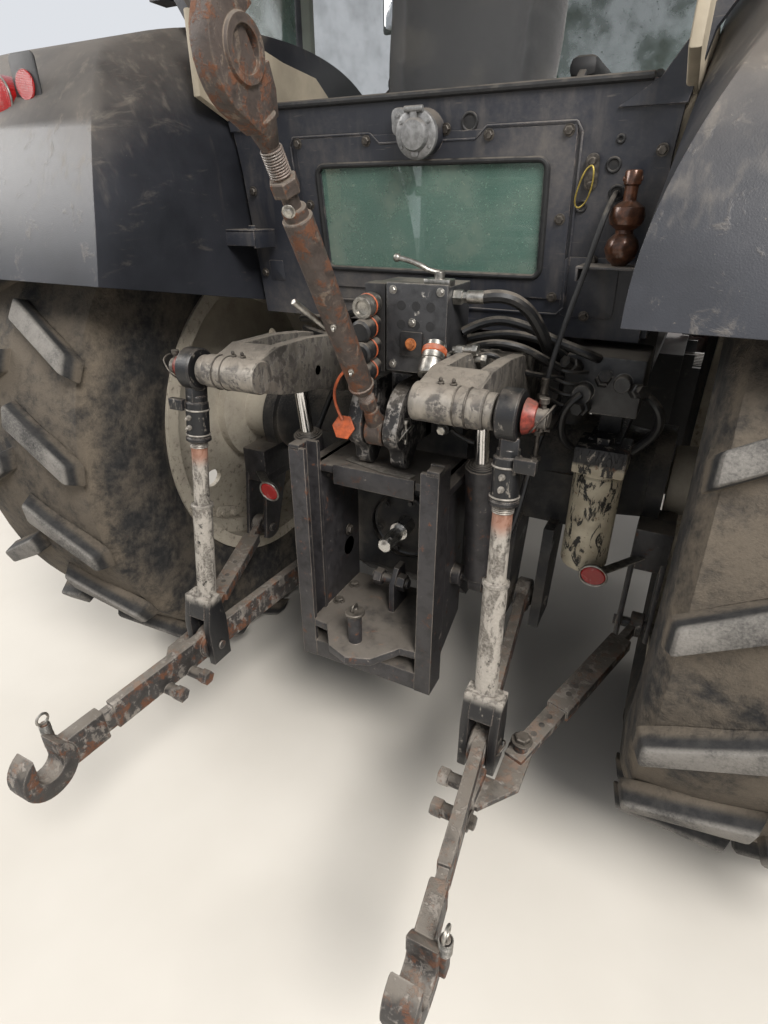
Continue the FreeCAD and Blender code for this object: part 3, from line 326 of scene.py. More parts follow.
def tyre_rubber(name, colours, axle_y, axle_z, radius, tread):
    """Black rubber: pale worn lug faces, mud between the lugs and dusty ribs on the walls."""
    f = Finish(name, {"Specular IOR Level": 0.35})
    y = f.part(1) - axle_y
    z = f.part(2) - axle_z
    reach = (y * y + z * z) ** 0.5
    skin = f.clouds(0.005, 5.0, 0.7)
    broad = f.clouds(0.11, 5.0, 0.6)
    fine = f.clouds(0.02, 5.0, 0.65)
    face = f.rise(reach, radius - 0.016, radius - 0.004)
    groove = f.rise(reach, radius - tread * 0.55, radius - tread * 0.95)
    groove = groove * f.rise(reach, radius - tread * 3.0, radius - tread * 1.5)
    wall = 1.0 - f.rise(reach, radius - tread * 2.2, radius - tread * 1.2)
    mud = (0.75 * groove * f.rise(broad + 0.4 * fine, 0.45, 0.8)
           + 0.55 * wall * f.rise(broad + 0.5 * fine, 0.6, 1.0)).least(1.0)
    colour = f.mix(f.rise(fine, 0.3, 0.7), (0.012, 0.012, 0.013), (0.03, 0.029, 0.028))
    colour = f.mix(mud, colour, f.mix(skin, tuple(colours.mud), tuple(c * 1.6 for c in colours.mud)))
    pale = face * f.rise(broad + 0.5 * skin, 0.45, 0.95)
    colour = f.mix(pale * 0.8, colour, (0.24, 0.225, 0.205))
    rough = 0.72 + 0.2 * mud + 0.1 * skin
    return f.put(colour=colour, roughness=rough, normal=f.bump(skin + 1.5 * mud, 0.0015, 0.003))


def rim_paint(name, colours, paint, axle_y, axle_z):
    """Silver-beige wheel paint, with brown dust in patches and mud lower down and near the tyre."""
    f = Finish(name, {"Specular IOR Level": 0.5})
    y = f.part(1) - axle_y
    z = f.part(2) - axle_z
    reach = (y * y + z * z) ** 0.5
    broad = f.clouds(0.09, 6.0, 0.62)
    skin = f.clouds(0.006, 5.0, 0.7)
    splash = f.rise(f.clouds(0.018, 6.0, 0.7), 0.52, 0.66)
    dust = f.rise(broad + 0.3 * skin, 0.45, 0.9)
    colour = f.mix(0.55 * dust, paint, tuple(colours.dust))
    low = f.rise(z, 0.15, -0.35) + 0.5 * f.rise(reach, 0.30, 0.48)
    mud = (splash * f.rise(low * 0.5 + broad, 0.55, 0.95)).least(1.0)
    colour = f.mix(mud * 0.8, colour, tuple(colours.mud))
    chips = f.rise(f.clouds(0.02, 7.0, 0.75), 0.68, 0.73)
    colour = f.mix(chips * 0.7, colour, tuple(colours.rust))
    return f.put(colour=colour, roughness=0.45 + 0.35 * dust,
                 normal=f.bump(skin + mud, 0.0005, 0.002))


def cab_glass(name, colours, tint, clear=0.62, dirt=0.4):
    """Tinted safety glass with dust film, wiped patches and dried drops."""
    f = Finish(name, {"Roughness": 0.06, "Specular IOR Level": 0.5, "IOR": 1.45})
    film = f.rise(f.clouds(0.12, 5.0, 0.6), 0.35, 0.8)
    drops = f.rise(f.clouds(0.008, 4.0, 0.6), 0.62, 0.70)
    dust = (film * 0.5 + drops * 0.35) * dirt
    colour = f.mix(dust, tint, tuple(colours.dust))
    alpha = ((1.0 - clear) + 0.9 * dust).least(1.0)
    return f.put(colour=colour, alpha=alpha, roughness=0.08 + 0.5 * dust)


def woven_cloth(name, base, thread=0.0016):
    """Seat cloth: over and under threads with a faint fleck and worn, paler crowns."""
    f = Finish(name, {"Sheen Weight": 0.35, "Sheen Roughness": 0.5})
    x, y, z = (f.part(i) for i in range(3))
    turn = 2 * math.pi / thread
    warp = (x * turn).apply("SINE", x * turn)
    weft = ((y + z) * turn).apply("SINE", (y + z) * turn)
    weave = abs(warp * weft)
    fleck = f.rise(f.clouds(0.004, 3.0, 0.6), 0.55, 0.7)
    worn = f.rise(f.clouds(0.15, 4.0, 0.6), 0.45, 0.75)
    colour = f.mix(weave, tuple(c * 0.6 for c in base), base)
    colour = f.mix(fleck * 0.3, colour, tuple(c * 2.4 for c in base))
    colour = f.mix(worn * 0.3, colour, (0.16, 0.145, 0.12))
    return f.put(colour=colour, roughness=0.9 - 0.1 * weave, normal=f.bump(weave, 0.0006))


def lamp_lens(name, colour):
    """Moulded lens with fine prism ribs and a dusty skin."""
    f = Finish(name, {"Specular IOR Level": 0.6, "Coat Weight": 0.3})
    x, z = f.part(0), f.part(2)
    turn = 2 * math.pi / 0.006
    ribs = abs((x * turn).apply("SINE", x * turn)) * abs((z * turn).apply("SINE", z * turn))
    dust = f.rise(f.clouds(0.03, 5.0, 0.6), 0.5, 0.8)
    tone = f.mix(ribs, tuple(c * 0.55 for c in colour), colour)
    return f.put(colour=f.mix(dust * 0.35, tone, (0.25, 0.2, 0.17)), roughness=0.18 + 0.4 * dust,
                 normal=f.bump(ribs, 0.0004))


def worn_metal(name, colours, base, bare=(0.40, 0.38, 0.35), cover=0.5, rusty=0.3, gloss=0.45, dirt=0.4):
    """Steel in three layers that flake apart: black paint, bare metal and brown rust, then dry clay."""
    f = Finish(name, {"Specular IOR Level": 0.5})
    skin = f.clouds(0.0035, 5.0, 0.7)
    flakes = f.clouds(0.028, 7.0, 0.68, twist=0.5)
    runs = f.clouds(0.022, 5.0, 0.62, stretch=(1.0, 1.0, 0.3))
    edge = f.edges(0.005)
    shown = f.rise(0.6 * flakes + 0.35 * runs + 0.28 * edge + 0.1 * skin, 0.74 - 0.42 * cover, 0.80 - 0.42 * cover)
    rust = f.rise(f.clouds(0.04, 7.0, 0.72) + 0.15 * skin, 0.80 - 0.3 * rusty, 0.90 - 0.3 * rusty)
    metal = f.mix(f.rise(runs, 0.35, 0.75), tuple(c * 0.55 for c in bare), bare)
    colour = f.mix(shown, f.mix(f.rise(flakes, 0.3, 0.6), base, tuple(c * 2.0 + 0.006 for c in base)), metal)
    colour = f.mix(rust * 0.9, colour, f.mix(skin, tuple(c * 0.6 for c in colours.rust), tuple(colours.rust)))
    up = f.rise(f.facing(2), 0.0, 0.95)
    dust = f.rise(0.45 * up + f.clouds(0.07, 6.0, 0.65), 0.66, 0.98) * dirt
    colour = f.mix(dust, colour, tuple(colours.dust))
    grain = skin + 1.2 * shown + rust
    return f.put(colour=colour, roughness=(gloss + 0.25 * dust + 0.3 * rust).least(1.0),
                 metallic=shown * 0.7 * (1.0 - dust) * (1.0 - rust), normal=f.bump(grain, 0.0006, 0.0015))


def plain_part(name, colours, tone, gloss=0.5, dirt=0.3, metal=0.0, spread=0.5, coat=0.0):
    """A small part in one colour, mottled, with painted shade darkening its corners and close gaps, which are also
    rougher, and dust on top.
    """
    f = Finish(name, {"Metallic": metal, "Coat Weight": coat, "Specular IOR Level": 0.5})
    mottle = f.clouds(0.012, 6.0, 0.68)
    tint = f.mix(f.rise(mottle, 0.32, 0.70), tuple(c * (1 - spread) for c in tone), tone)
    # Corner mask from ambient occlusion: it darkens the colour as painted shade and adds roughness.
    grime_and_shade = f.crevices(0.012)
    up = f.rise(f.facing(2), 0.0, 0.9)
    dust = f.rise(0.4 * up + f.clouds(0.03, 5.0, 0.6), 0.60, 0.95) * dirt
    # Painted shade: the colour is darkened towards near-black in corners and close gaps.
    colour = f.mix(grime_and_shade * 0.6, tint, (0.035, 0.028, 0.022))
    colour = f.mix(dust, colour, tuple(colours.dust))
    return f.put(colour=colour, roughness=(gloss + 0.3 * dust + 0.2 * grime_and_shade).least(1.0),
                 normal=f.bump(mottle, 0.0003, 0.0008))


def lift_rod_steel(name, colours):
    """Black sleeve above, then a pale bare tube that is reddish at its top and mottled below."""
    f = Finish(name, {"Specular IOR Level": 0.5})
    z = f.part(2)
    skin = f.clouds(0.003, 5.0, 0.7)
    flakes = f.clouds(0.020, 7.0, 0.70, stretch=(1.0, 1.0, 0.45), twist=0.4)
    tube = f.rise(z, 1.032, 1.020) * f.rise(z, 0.600, 0.625)
    cream = f.rise(flakes, 0.46, 0.52)
    top = f.rise(z + 0.03 * flakes, 0.985, 1.020)
    pale = f.mix(f.rise(f.clouds(0.006, 4.0, 0.6), 0.35, 0.7), (0.13, 0.115, 0.10), (0.30, 0.28, 0.25))
    bare = f.mix(cream * 0.7, pale, (0.36, 0.33, 0.29))
    bare = f.mix(f.rise(f.clouds(0.03, 6.0, 0.7), 0.60, 0.66), bare, (0.022, 0.020, 0.018))
    bare = f.mix(top * 0.8, bare, (0.26, 0.11, 0.065))
    black = f.mix(f.rise(flakes, 0.60, 0.66), (0.010, 0.010, 0.011), (0.16, 0.145, 0.125))
    colour = f.mix(tube, black, bare)
    edge = f.edges(0.004) * (1.0 - tube)
    colour = f.mix(edge * f.rise(skin, 0.4, 0.6) * 0.8, colour, (0.24, 0.20, 0.17))
    dust = f.rise(f.clouds(0.05, 5.0, 0.6) + 0.25 * f.rise(f.facing(2), 0.0, 1.0), 0.60, 0.9) * 0.3
    colour = f.mix(dust, colour, tuple(colours.dust))
    return f.put(colour=colour, roughness=0.34 + 0.3 * dust + 0.2 * tube, metallic=tube * 0.45 * (1.0 - cream),
                 normal=f.bump(skin + flakes, 0.0005, 0.0015))


def filter_paint(name, colours):
    """Cream paint peeling in long flakes from a black can, with a flaked black head above."""
    f = Finish(name, {"Specular IOR Level": 0.5})
    z = f.part(2)
    flakes = f.clouds(0.024, 8.0, 0.72, stretch=(1.0, 1.0, 0.40), twist=0.8)
    can = f.rise(z, FILTER_HEAD_Z, FILTER_HEAD_Z - 0.012)
    cream = f.rise(flakes, 0.43, 0.47)
    tint = f.mix(f.rise(f.clouds(0.05), 0.3, 0.7), (0.62, 0.56, 0.43), (0.44, 0.38, 0.28))
    lower = f.mix(cream, (0.020, 0.018, 0.017), tint)
    upper = f.mix(f.rise(flakes, 0.56, 0.60), (0.016, 0.015, 0.016), (0.34, 0.30, 0.25))
    colour = f.mix(can, upper, lower)
    colour = f.mix(f.rise(f.clouds(0.03, 7.0, 0.7), 0.60, 0.68) * 0.8, colour, tuple(colours.rust))
    return f.put(colour=colour, roughness=0.5, normal=f.bump(cream + 0.4 * flakes, 0.0006, 0.0015))


FINISHES = {}


def make_finishes(colours):
    """Makes every finish on the tractor, by name."""
    dark = (0.022, 0.021, 0.02)
    made = {
        "cab_paint": painted_steel("cab_paint", colours, tuple(colours.cab), 0.40),
        "body_paint": painted_steel("body_paint", colours, tuple(colours.body), 0.30, 0.55, 0.5),
        "roof_paint": painted_steel("roof_paint", colours, tuple(colours.roof), 0.34, 0.8, 0.4),
        "casting": cast_iron("casting", colours, tuple(colours.casting)),
        "fender_plastic": moulded_plastic("fender_plastic", colours, (0.012, 0.013, 0.017), 0.42, 1.25),
        "black_plastic": moulded_plastic("black_plastic", colours, (0.018, 0.018, 0.019), 0.55, 0.7),
        "interior_plastic": moulded_plastic("interior_plastic", colours, (0.10, 0.10, 0.095), 0.6, 0.35),
        "linkage": worked_steel("linkage", colours, dark, 0.45, 0.45),
        "worn_linkage": worked_steel("worn_linkage", colours, dark, 0.95, 0.6),
        "rusty_steel": worked_steel("rusty_steel", colours, (0.06, 0.035, 0.02), 0.35, 1.5),
        "exhaust_steel": worked_steel("exhaust_steel", colours, (0.03, 0.028, 0.026), 0.3, 0.9),
        "bright_steel": bright_steel("bright_steel", colours),
        "chrome": bright_steel("chrome", colours, (0.72, 0.71, 0.70), 0.10, 0.2),
        "rear_glass": cab_glass("rear_glass", colours, (0.13, 0.235, 0.195), 0.50, 0.9),
        "glass": cab_glass("glass", colours, (0.24, 0.33, 0.30), 0.74, 0.35),
        "cloth": woven_cloth("cloth", (0.035, 0.036, 0.04)),
        "red_lens": lamp_lens("red_lens", (0.50, 0.012, 0.012)),
        "rear_tyre": tyre_rubber("rear_tyre", colours, REAR_AXLE_Y, REAR_AXLE_Z, REAR_AXLE_Z, 0.045),
        "front_tyre": tyre_rubber("front_tyre", colours, FRONT_AXLE_Y, FRONT_AXLE_Z, FRONT_AXLE_Z, 0.036),
        "rear_rim": rim_paint("rear_rim", colours, tuple(colours.rims), REAR_AXLE_Y, REAR_AXLE_Z),
        "front_rim": rim_paint("front_rim", colours, tuple(colours.rims), FRONT_AXLE_Y, FRONT_AXLE_Z),
        "dull_steel": plain_part("dull_steel", colours, (0.13, 0.115, 0.10), 0.45, 0.45, 0.6, 0.7),
        "plated_steel": plain_part("plated_steel", colours, (0.50, 0.48, 0.44), 0.32, 0.3, 0.9, 0.6),
        "pale_steel": plain_part("pale_steel", colours, (0.40, 0.37, 0.33), 0.45, 0.3, 0.5, 0.6),
        "die_cast": plain_part("die_cast", colours, (0.30, 0.30, 0.30), 0.48, 0.45, 0.35, 0.45),
        "rubber": plain_part("rubber", colours, (0.016, 0.016, 0.017), 0.6, 0.35),
        "hose_rubber": plain_part("hose_rubber", colours, (0.014, 0.014, 0.015), 0.42, 0.55),
        "oily_black": plain_part("oily_black", colours, (0.020, 0.019, 0.019), 0.34, 0.40),
        "ball_rust": plain_part("ball_rust", colours, (0.13, 0.052, 0.026), 0.28, 0.15, 0.35, 0.7, 0.3),
        "orange_rust": plain_part("orange_rust", colours, (0.45, 0.14, 0.035), 0.8, 0.1, 0.0, 0.6),
        "orange_plastic": plain_part("orange_plastic", colours, (0.52, 0.11, 0.035), 0.45, 0.3),
        "yellow_wire": plain_part("yellow_wire", colours, (0.55, 0.42, 0.10), 0.4, 0.2, 0.6),
        "worn_red": plain_part("worn_red", colours, (0.30, 0.045, 0.028), 0.42, 0.3, 0.1, 0.75),
        "rods": lift_rod_steel("rods", colours),
        "filter_paint": filter_paint("filter_paint", colours),
        "arm_steel": worn_metal("arm_steel", colours, (0.045, 0.040, 0.036), (0.34, 0.31, 0.27), 0.60, 0.25, 0.5, 0.85),
        "link_steel": worn_metal("link_steel", colours, (0.018, 0.016, 0.015), (0.34, 0.31, 0.28), 0.48, 0.75, 0.5,
                                 0.55),
        "top_link_steel": worn_metal("top_link_steel", colours, (0.030, 0.022, 0.018), (0.24, 0.19, 0.15), 0.42, 0.8,
                                     0.6, 0.5),
        "frame_steel": worn_metal("frame_steel", colours, (0.014, 0.013, 0.014), (0.34, 0.30, 0.26), 0.28, 0.45,
                                  0.42, 0.5),
        "bracket_steel": worn_metal("bracket_steel", colours, (0.014, 0.013, 0.013), (0.44, 0.41, 0.38), 0.50, 0.3,
                                    0.40, 0.4),
        "valve_steel": worn_metal("valve_steel", colours, (0.014, 0.014, 0.015), (0.36, 0.34, 0.31), 0.26, 0.25,
                                  0.40, 0.55),
        "clear_lens": lamp_lens("clear_lens", (0.62, 0.63, 0.64)),
        "orange_lens": lamp_lens("orange_lens", (0.70, 0.20, 0.02)),
        "mirror": plain_part("mirror", colours, (0.75, 0.76, 0.78), 0.03, 0.15, 1.0, 0.05),
        "cream_paint": plain_part("cream_paint", colours, (0.45, 0.40, 0.31), 0.5, 0.3, 0.0, 0.25),
        "beige_trim": moulded_plastic("beige_trim", colours, (0.33, 0.285, 0.215), 0.6, 0.3),
        "grey_trim": moulded_plastic("grey_trim", colours, (0.15, 0.165, 0.145), 0.6, 0.35),
    }
    FINISHES.update(made)


WEARS = {  # finish: the CAD nodes that take it
    "casting": ("rear_axle_housing", "engine", "radiator", "front_frame", "front_axle",
                "front_knuckle_left", "front_knuckle_right"),
    "cab_paint": ("cab_floor", "cab_frame", "cab_rear_panel", "door_left", "door_right"),
    "fender_plastic": ("fender_left", "fender_right"),
    "black_plastic": ("fuel_tank_and_steps", "battery_box_and_steps"),
    "interior_plastic": ("dashboard", "side_console", "steering_wheel"),
    "frame_steel": ("front_drive_shaft", "hitch_frame", "track_rod", "lift_cylinder_barrels"),
    "bracket_steel": ("top_link_bracket",),
    "valve_steel": ("remote_valves",),
    "link_steel": ("lower_link_left", "lower_link_right"),
    "arm_steel": ("lift_arms",),
    "rods": ("lift_rod_left", "lift_rod_right"),
    "top_link_steel": ("top_link",),
    "exhaust_steel": ("exhaust_stack",),
    "bright_steel": ("pto_shaft",),
    "chrome": ("lift_cylinder_rods", "steering_rod"),
    "rear_glass": ("cab_glass",),
    "glass": ("door_glass_left", "door_glass_right", "rear_window"),
    "cloth": ("seat",),
    "red_lens": ("tail_lamps",),
    "rear_tyre": ("rear_tyre_left", "rear_tyre_right"),
    "front_tyre": ("front_tyre_left", "front_tyre_right"),
    "rear_rim": ("rear_rim_left", "rear_rim_right"),
    "front_rim": ("front_rim_left", "front_rim_right"),
    "filter_paint": ("oil_filter",),
    "body_paint": ("bonnet",),
    "roof_paint": ("cab_roof",),
}


EASED = {"rear_tyre": 0.009, "front_tyre": 0.007}
SMOOTH_ANGLE = 34.0
WIDER_ANGLE = {"fender_plastic": 58.0}


def smooth_by_angle(angle):
    """A modifier's node group: corners merged, faces smooth, and edges above the angle sharp."""
    group = bpy.data.node_groups.new("smooth_by_angle", "GeometryNodeTree")
    for way in ("INPUT", "OUTPUT"):
        group.interface.new_socket("Geometry", in_out=way, socket_type="NodeSocketGeometry")
    nodes, links = group.nodes, group.links
    start = nodes.new("NodeGroupInput")
    end = nodes.new("NodeGroupOutput")
    merge = nodes.new("GeometryNodeMergeByDistance")
    merge.inputs["Distance"].default_value = 0.00002
    faces = nodes.new("GeometryNodeSetShadeSmooth")
    edges = nodes.new("GeometryNodeSetShadeSmooth")
    edges.domain = "EDGE"
    edges.inputs["Shade Smooth"].default_value = False
    corner = nodes.new("GeometryNodeInputMeshEdgeAngle")
    above = nodes.new("ShaderNodeMath")
    above.operation = "GREATER_THAN"
    above.inputs[1].default_value = angle
    links.new(start.outputs[0], merge.inputs["Geometry"])
    links.new(merge.outputs["Geometry"], faces.inputs["Geometry"])
    links.new(faces.outputs["Geometry"], edges.inputs["Geometry"])
    links.new(corner.outputs["Unsigned Angle"], above.inputs[0])
    links.new(above.outputs[0], edges.inputs["Selection"])
    links.new(edges.outputs["Geometry"], end.inputs[0])
    return group


class TRACTOR_OT_finishes(bpy.types.Operator):
    """Make the finishes, smooth the tractor's own nodes and put the finishes on them"""

    bl_idname = "tractor.finishes"
    bl_label = "Finishes"

    def execute(self, context):
        make_finishes(context.scene.tractor_colours)
        usual = smooth_by_angle(math.radians(SMOOTH_ANGLE))
        wider = {finish: smooth_by_angle(math.radians(angle)) for finish, angle in WIDER_ANGLE.items()}
        for finish, nodes in WEARS.items():
            group = wider.get(finish, usual)
            for node in nodes:
                NODES[node].modifiers.new("smooth", "NODES").node_group = group
                if finish in EASED:
                    eased = NODES[node].modifiers.new("eased", "BEVEL")
                    eased.width = EASED[finish]
                    eased.segments = 2
                    eased.limit_method = "ANGLE"
                    eased.angle_limit = math.radians(SMOOTH_ANGLE)
                    eased.harden_normals = True
                for slot in NODES[node].material_slots:
                    slot.material = FINISHES[finish]
        return {"FINISHED"}


class Shape:
    """A mesh in the making: each call adds one closed form, at its own place on the tractor."""

    def __init__(self):
        self.bm = bmesh.new()

    def aimed(self, at, way):
        turn = Vector(way).to_track_quat("Z", "Y").to_matrix().to_4x4()
        return Matrix.Translation(at) @ turn

    def add(self, form, where=None, mend=True):
        if mend:
            bmesh.ops.remove_doubles(form, verts=form.verts, dist=1e-6)
            bmesh.ops.recalc_face_normals(form, faces=form.faces)
        bmesh.ops.transform(form, matrix=where or Matrix(), verts=form.verts)
        mesh = bpy.data.meshes.new("form")
        form.to_mesh(mesh)
        form.free()
        self.bm.from_mesh(mesh)
        bpy.data.meshes.remove(mesh)
        return self

    def soften(self, form, edge, segments=2):
        if edge:
            bmesh.ops.bevel(form, geom=form.edges[:], offset=edge, offset_type="OFFSET",
                            segments=segments, profile=0.5, affect="EDGES", material=-1)

    def box(self, low, high, edge=0.0, about=None):
        """A block between two corners; about is a Matrix that then turns it about its middle."""
        low, high = Vector(low), Vector(high)
        form = bmesh.new()
        bmesh.ops.create_cube(form, size=1.0, matrix=Matrix.Diagonal((*(high - low), 1.0)))
        self.soften(form, edge)
        return self.add(form, Matrix.Translation((low + high) / 2) @ (about or Matrix()))

    def bar(self, a, b, wide, tall, edge=0.0):
        """A block along a line, its wide side kept level."""
        a, b = Vector(a), Vector(b)
        form = bmesh.new()
        bmesh.ops.create_cube(form, size=1.0, matrix=Matrix.Diagonal((wide, tall, (b - a).length, 1.0)))
        self.soften(form, edge)
        return self.add(form, self.aimed((a + b) / 2, b - a))

    def lathe(self, outline, at, way, steps=28):
        """An outline of (radius, height) spun about a line."""
        form = bmesh.new()
        verts = [form.verts.new((r, 0.0, h)) for r, h in outline]
        edges = [form.edges.new(pair) for pair in zip(verts, verts[1:])]
        bmesh.ops.spin(form, geom=verts + edges, cent=(0, 0, 0), axis=(0, 0, 1),
                       angle=2 * math.pi, steps=steps, use_merge=True)
        return self.add(form, self.aimed(at, way))

    def rod(self, a, b, radius, end=None, edge=0.0, steps=20):
        """A round bar or a cone, with its two rims eased by edge."""
        a, b = Vector(a), Vector(b)
        end = radius if end is None else end
        long = (b - a).length
        outline = [(0, 0), (radius - edge, 0), (radius, edge), (end, long - edge), (end - edge, long),
                   (0, long)]
        if not edge:
            outline = [(0, 0), (radius, 0), (end, long), (0, long)]
        return self.lathe(outline, a, b - a, steps)

    def ring(self, at, way, radius, thick, steps=32, around=10):
        """A round wire bent to a ring."""
        outline = []
        for i in range(around + 1):
            turn = 2 * math.pi * i / around
            outline.append((radius + thick * math.cos(turn), thick * math.sin(turn)))
        return self.lathe(outline, at, way, steps)

    def ball(self, at, radius, steps=24):
        form = bmesh.new()
        bmesh.ops.create_uvsphere(form, u_segments=steps, v_segments=steps // 2, radius=radius)
        return self.add(form, Matrix.Translation(at), mend=False)

    def plate(self, outline, thick, where, edge=0.0):
        """A flat sheet from an outline of (x, y), raised by thick along Z, then put in place."""
        form = bmesh.new()
        face = form.faces.new([form.verts.new((x, y, 0.0)) for x, y in outline])
        raised = bmesh.ops.extrude_face_region(form, geom=[face])
        moved = [v for v in raised["geom"] if isinstance(v, bmesh.types.BMVert)]
        bmesh.ops.translate(form, vec=(0, 0, thick), verts=moved)
        if edge:
            rims = [e for e in form.edges if abs(e.verts[0].co.z - e.verts[1].co.z) < 1e-9]
            bmesh.ops.bevel(form, geom=rims, offset=edge, offset_type="OFFSET", segments=2,
                            profile=0.5, affect="EDGES", material=-1)
        return self.add(form, where)

    def slab(self, points, low, high, edge=0.0):
        """An outline of (y, z) from the rear axle's line, from one X to another."""
        form = bmesh.new()
        face = form.faces.new([form.verts.new((low, REAR_AXLE_Y + y, z)) for y, z in points])
        raised = bmesh.ops.extrude_face_region(form, geom=[face])
        moved = [v for v in raised["geom"] if isinstance(v, bmesh.types.BMVert)]
        bmesh.ops.translate(form, vec=(high - low, 0, 0), verts=moved)
        if edge:
            rims = [e for e in form.edges if abs(e.verts[0].co.x - e.verts[1].co.x) < 1e-9]
            bmesh.ops.bevel(form, geom=rims, offset=edge, offset_type="OFFSET", segments=2,
                            profile=0.5, affect="EDGES", material=-1)
        return self.add(form)

    def bolt(self, at, way, size, head=None, washer=True):
        """A hexagon bolt's head; size is across its corners, and way points out of the seat."""
        head = size * 0.36 if head is None else head
        way = Vector(way).normalized()
        at = Vector(at)
        if washer:
            self.rod(at, at + way * size * 0.09, size * 0.68, edge=size * 0.02)
        self.lathe([(0, 0), (size * 0.5, 0), (size * 0.5, head * 0.8), (size * 0.42, head), (0, head)],
                   at + way * size * 0.08, way, 6)
        return self

    def hose(self, points, radius, sides=10, closed=False):
        """A round tube along one smooth curve through the middle of its points' hull."""
        line = bpy.data.curves.new("line", "CURVE")
        line.dimensions = "3D"
        line.bevel_depth = radius
        line.bevel_resolution = max(1, sides // 2 - 2)
        line.resolution_u = 8
        line.use_fill_caps = not closed
        spline = line.splines.new("NURBS")
        spline.points.add(len(points) - 1)
        for point, place in zip(spline.points, points):
            point.co = (*place, 1.0)
        spline.use_cyclic_u = closed
        spline.order_u = 3
        spline.use_endpoint_u = not closed
        carrier = bpy.data.objects.new("line", line)
        mesh = bpy.data.meshes.new_from_object(carrier)
        self.bm.from_mesh(mesh)
        bpy.data.objects.remove(carrier)
        bpy.data.meshes.remove(mesh)
        bpy.data.curves.remove(line)
        return self

    def twin(self):
        """The same forms again on the tractor's other side."""
        bm = self.bm
        made = bmesh.ops.duplicate(bm, geom=bm.verts[:] + bm.edges[:] + bm.faces[:])["geom"]
        bmesh.ops.scale(bm, vec=(-1, 1, 1), verts=[g for g in made if isinstance(g, bmesh.types.BMVert)])
        bmesh.ops.reverse_faces(bm, faces=[g for g in made if isinstance(g, bmesh.types.BMFace)])
        return self

    def put(self, name, finish, body, slot, side=1, crease=35.0):
        """Makes the object; side -1 turns a right-hand piece into its left-hand twin."""
        bm = self.bm
        if side < 0:
            bmesh.ops.scale(bm, vec=(-1, 1, 1), verts=bm.verts)
            bmesh.ops.reverse_faces(bm, faces=bm.faces)
        for face in bm.faces:
            face.smooth = True
        for edge in bm.edges:
            edge.smooth = edge.calc_face_angle(0.0) < math.radians(crease)
        mesh = bpy.data.meshes.new(name)
        bm.to_mesh(mesh)
        bm.free()
        mesh.materials.append(FINISHES[finish])
        piece = bpy.data.objects.new(name, mesh)
        bpy.context.scene.collection.objects.link(piece)
        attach(piece, body)
        return piece


def at(x, y, z):
    """A place given from the rear axle's line."""
    return Vector((x, REAR_AXLE_Y + y, z))


def on_panel(x, height, out=0.0):
    """A place on the cab's leaning rear panel: height is measured along it, out is behind it."""
    up = height - PANEL_LOW_Z
    lean_sin, lean_cos = math.sin(PANEL_LEAN), math.cos(PANEL_LEAN)
    return at(x, PANEL_LOW_Y - out * lean_cos - up * lean_sin, PANEL_LOW_Z - out * lean_sin + up * lean_cos)


PANEL_OUT = Vector((0.0, -math.cos(PANEL_LEAN), -math.sin(PANEL_LEAN)))


def panel_place(x, height, out=0.0):
    """Puts a plate's X to the right, Y up the panel and Z out of it."""
    up = Vector((0.0, -math.sin(PANEL_LEAN), math.cos(PANEL_LEAN)))
    turn = Matrix((Vector((1, 0, 0)), up, PANEL_OUT)).transposed()
    return Matrix.Translation(on_panel(x, height, out)) @ turn.to_4x4()


def rounded(wide, tall, corner, steps=4):
    """The outline of a rectangle with round corners, about its middle."""
    points = []
    for x, y, first in ((1, 1, 0), (-1, 1, 90), (-1, -1, 180), (1, -1, 270)):
        for i in range(steps + 1):
            turn = math.radians(first + 90.0 * i / steps)
            points.append((x * (wide / 2 - corner) + corner * math.cos(turn),
                           y * (tall / 2 - corner) + corner * math.sin(turn)))
    return points


SIDES = ((1, "right"), (-1, "left"))
PANEL_BOLTS = (  # x, height on the rear panel
    (-0.324, 1.659), (-0.138, 1.658), (0.151, 1.658), (0.314, 1.659), (-0.309, 1.528), (-0.308, 1.400),
    (0.311, 1.500), (0.309, 1.339), (-0.309, 1.339), (0.278, 1.294), (0.388, 1.421), (0.384, 1.302),
    (-0.480, 1.560), (-0.486, 1.360), (0.056, 1.672), (0.490, 1.620),
)
PLATE_EDGE = (  # x, height: the pressed line round the removable plate, with its step under the socket
    (-0.336, 1.672), (-0.128, 1.672), (-0.106, 1.652), (0.122, 1.652), (0.146, 1.674), (0.328, 1.674),
    (0.340, 1.655), (0.338, 1.318), (0.322, 1.302), (-0.320, 1.302), (-0.338, 1.318), (-0.346, 1.655),
)


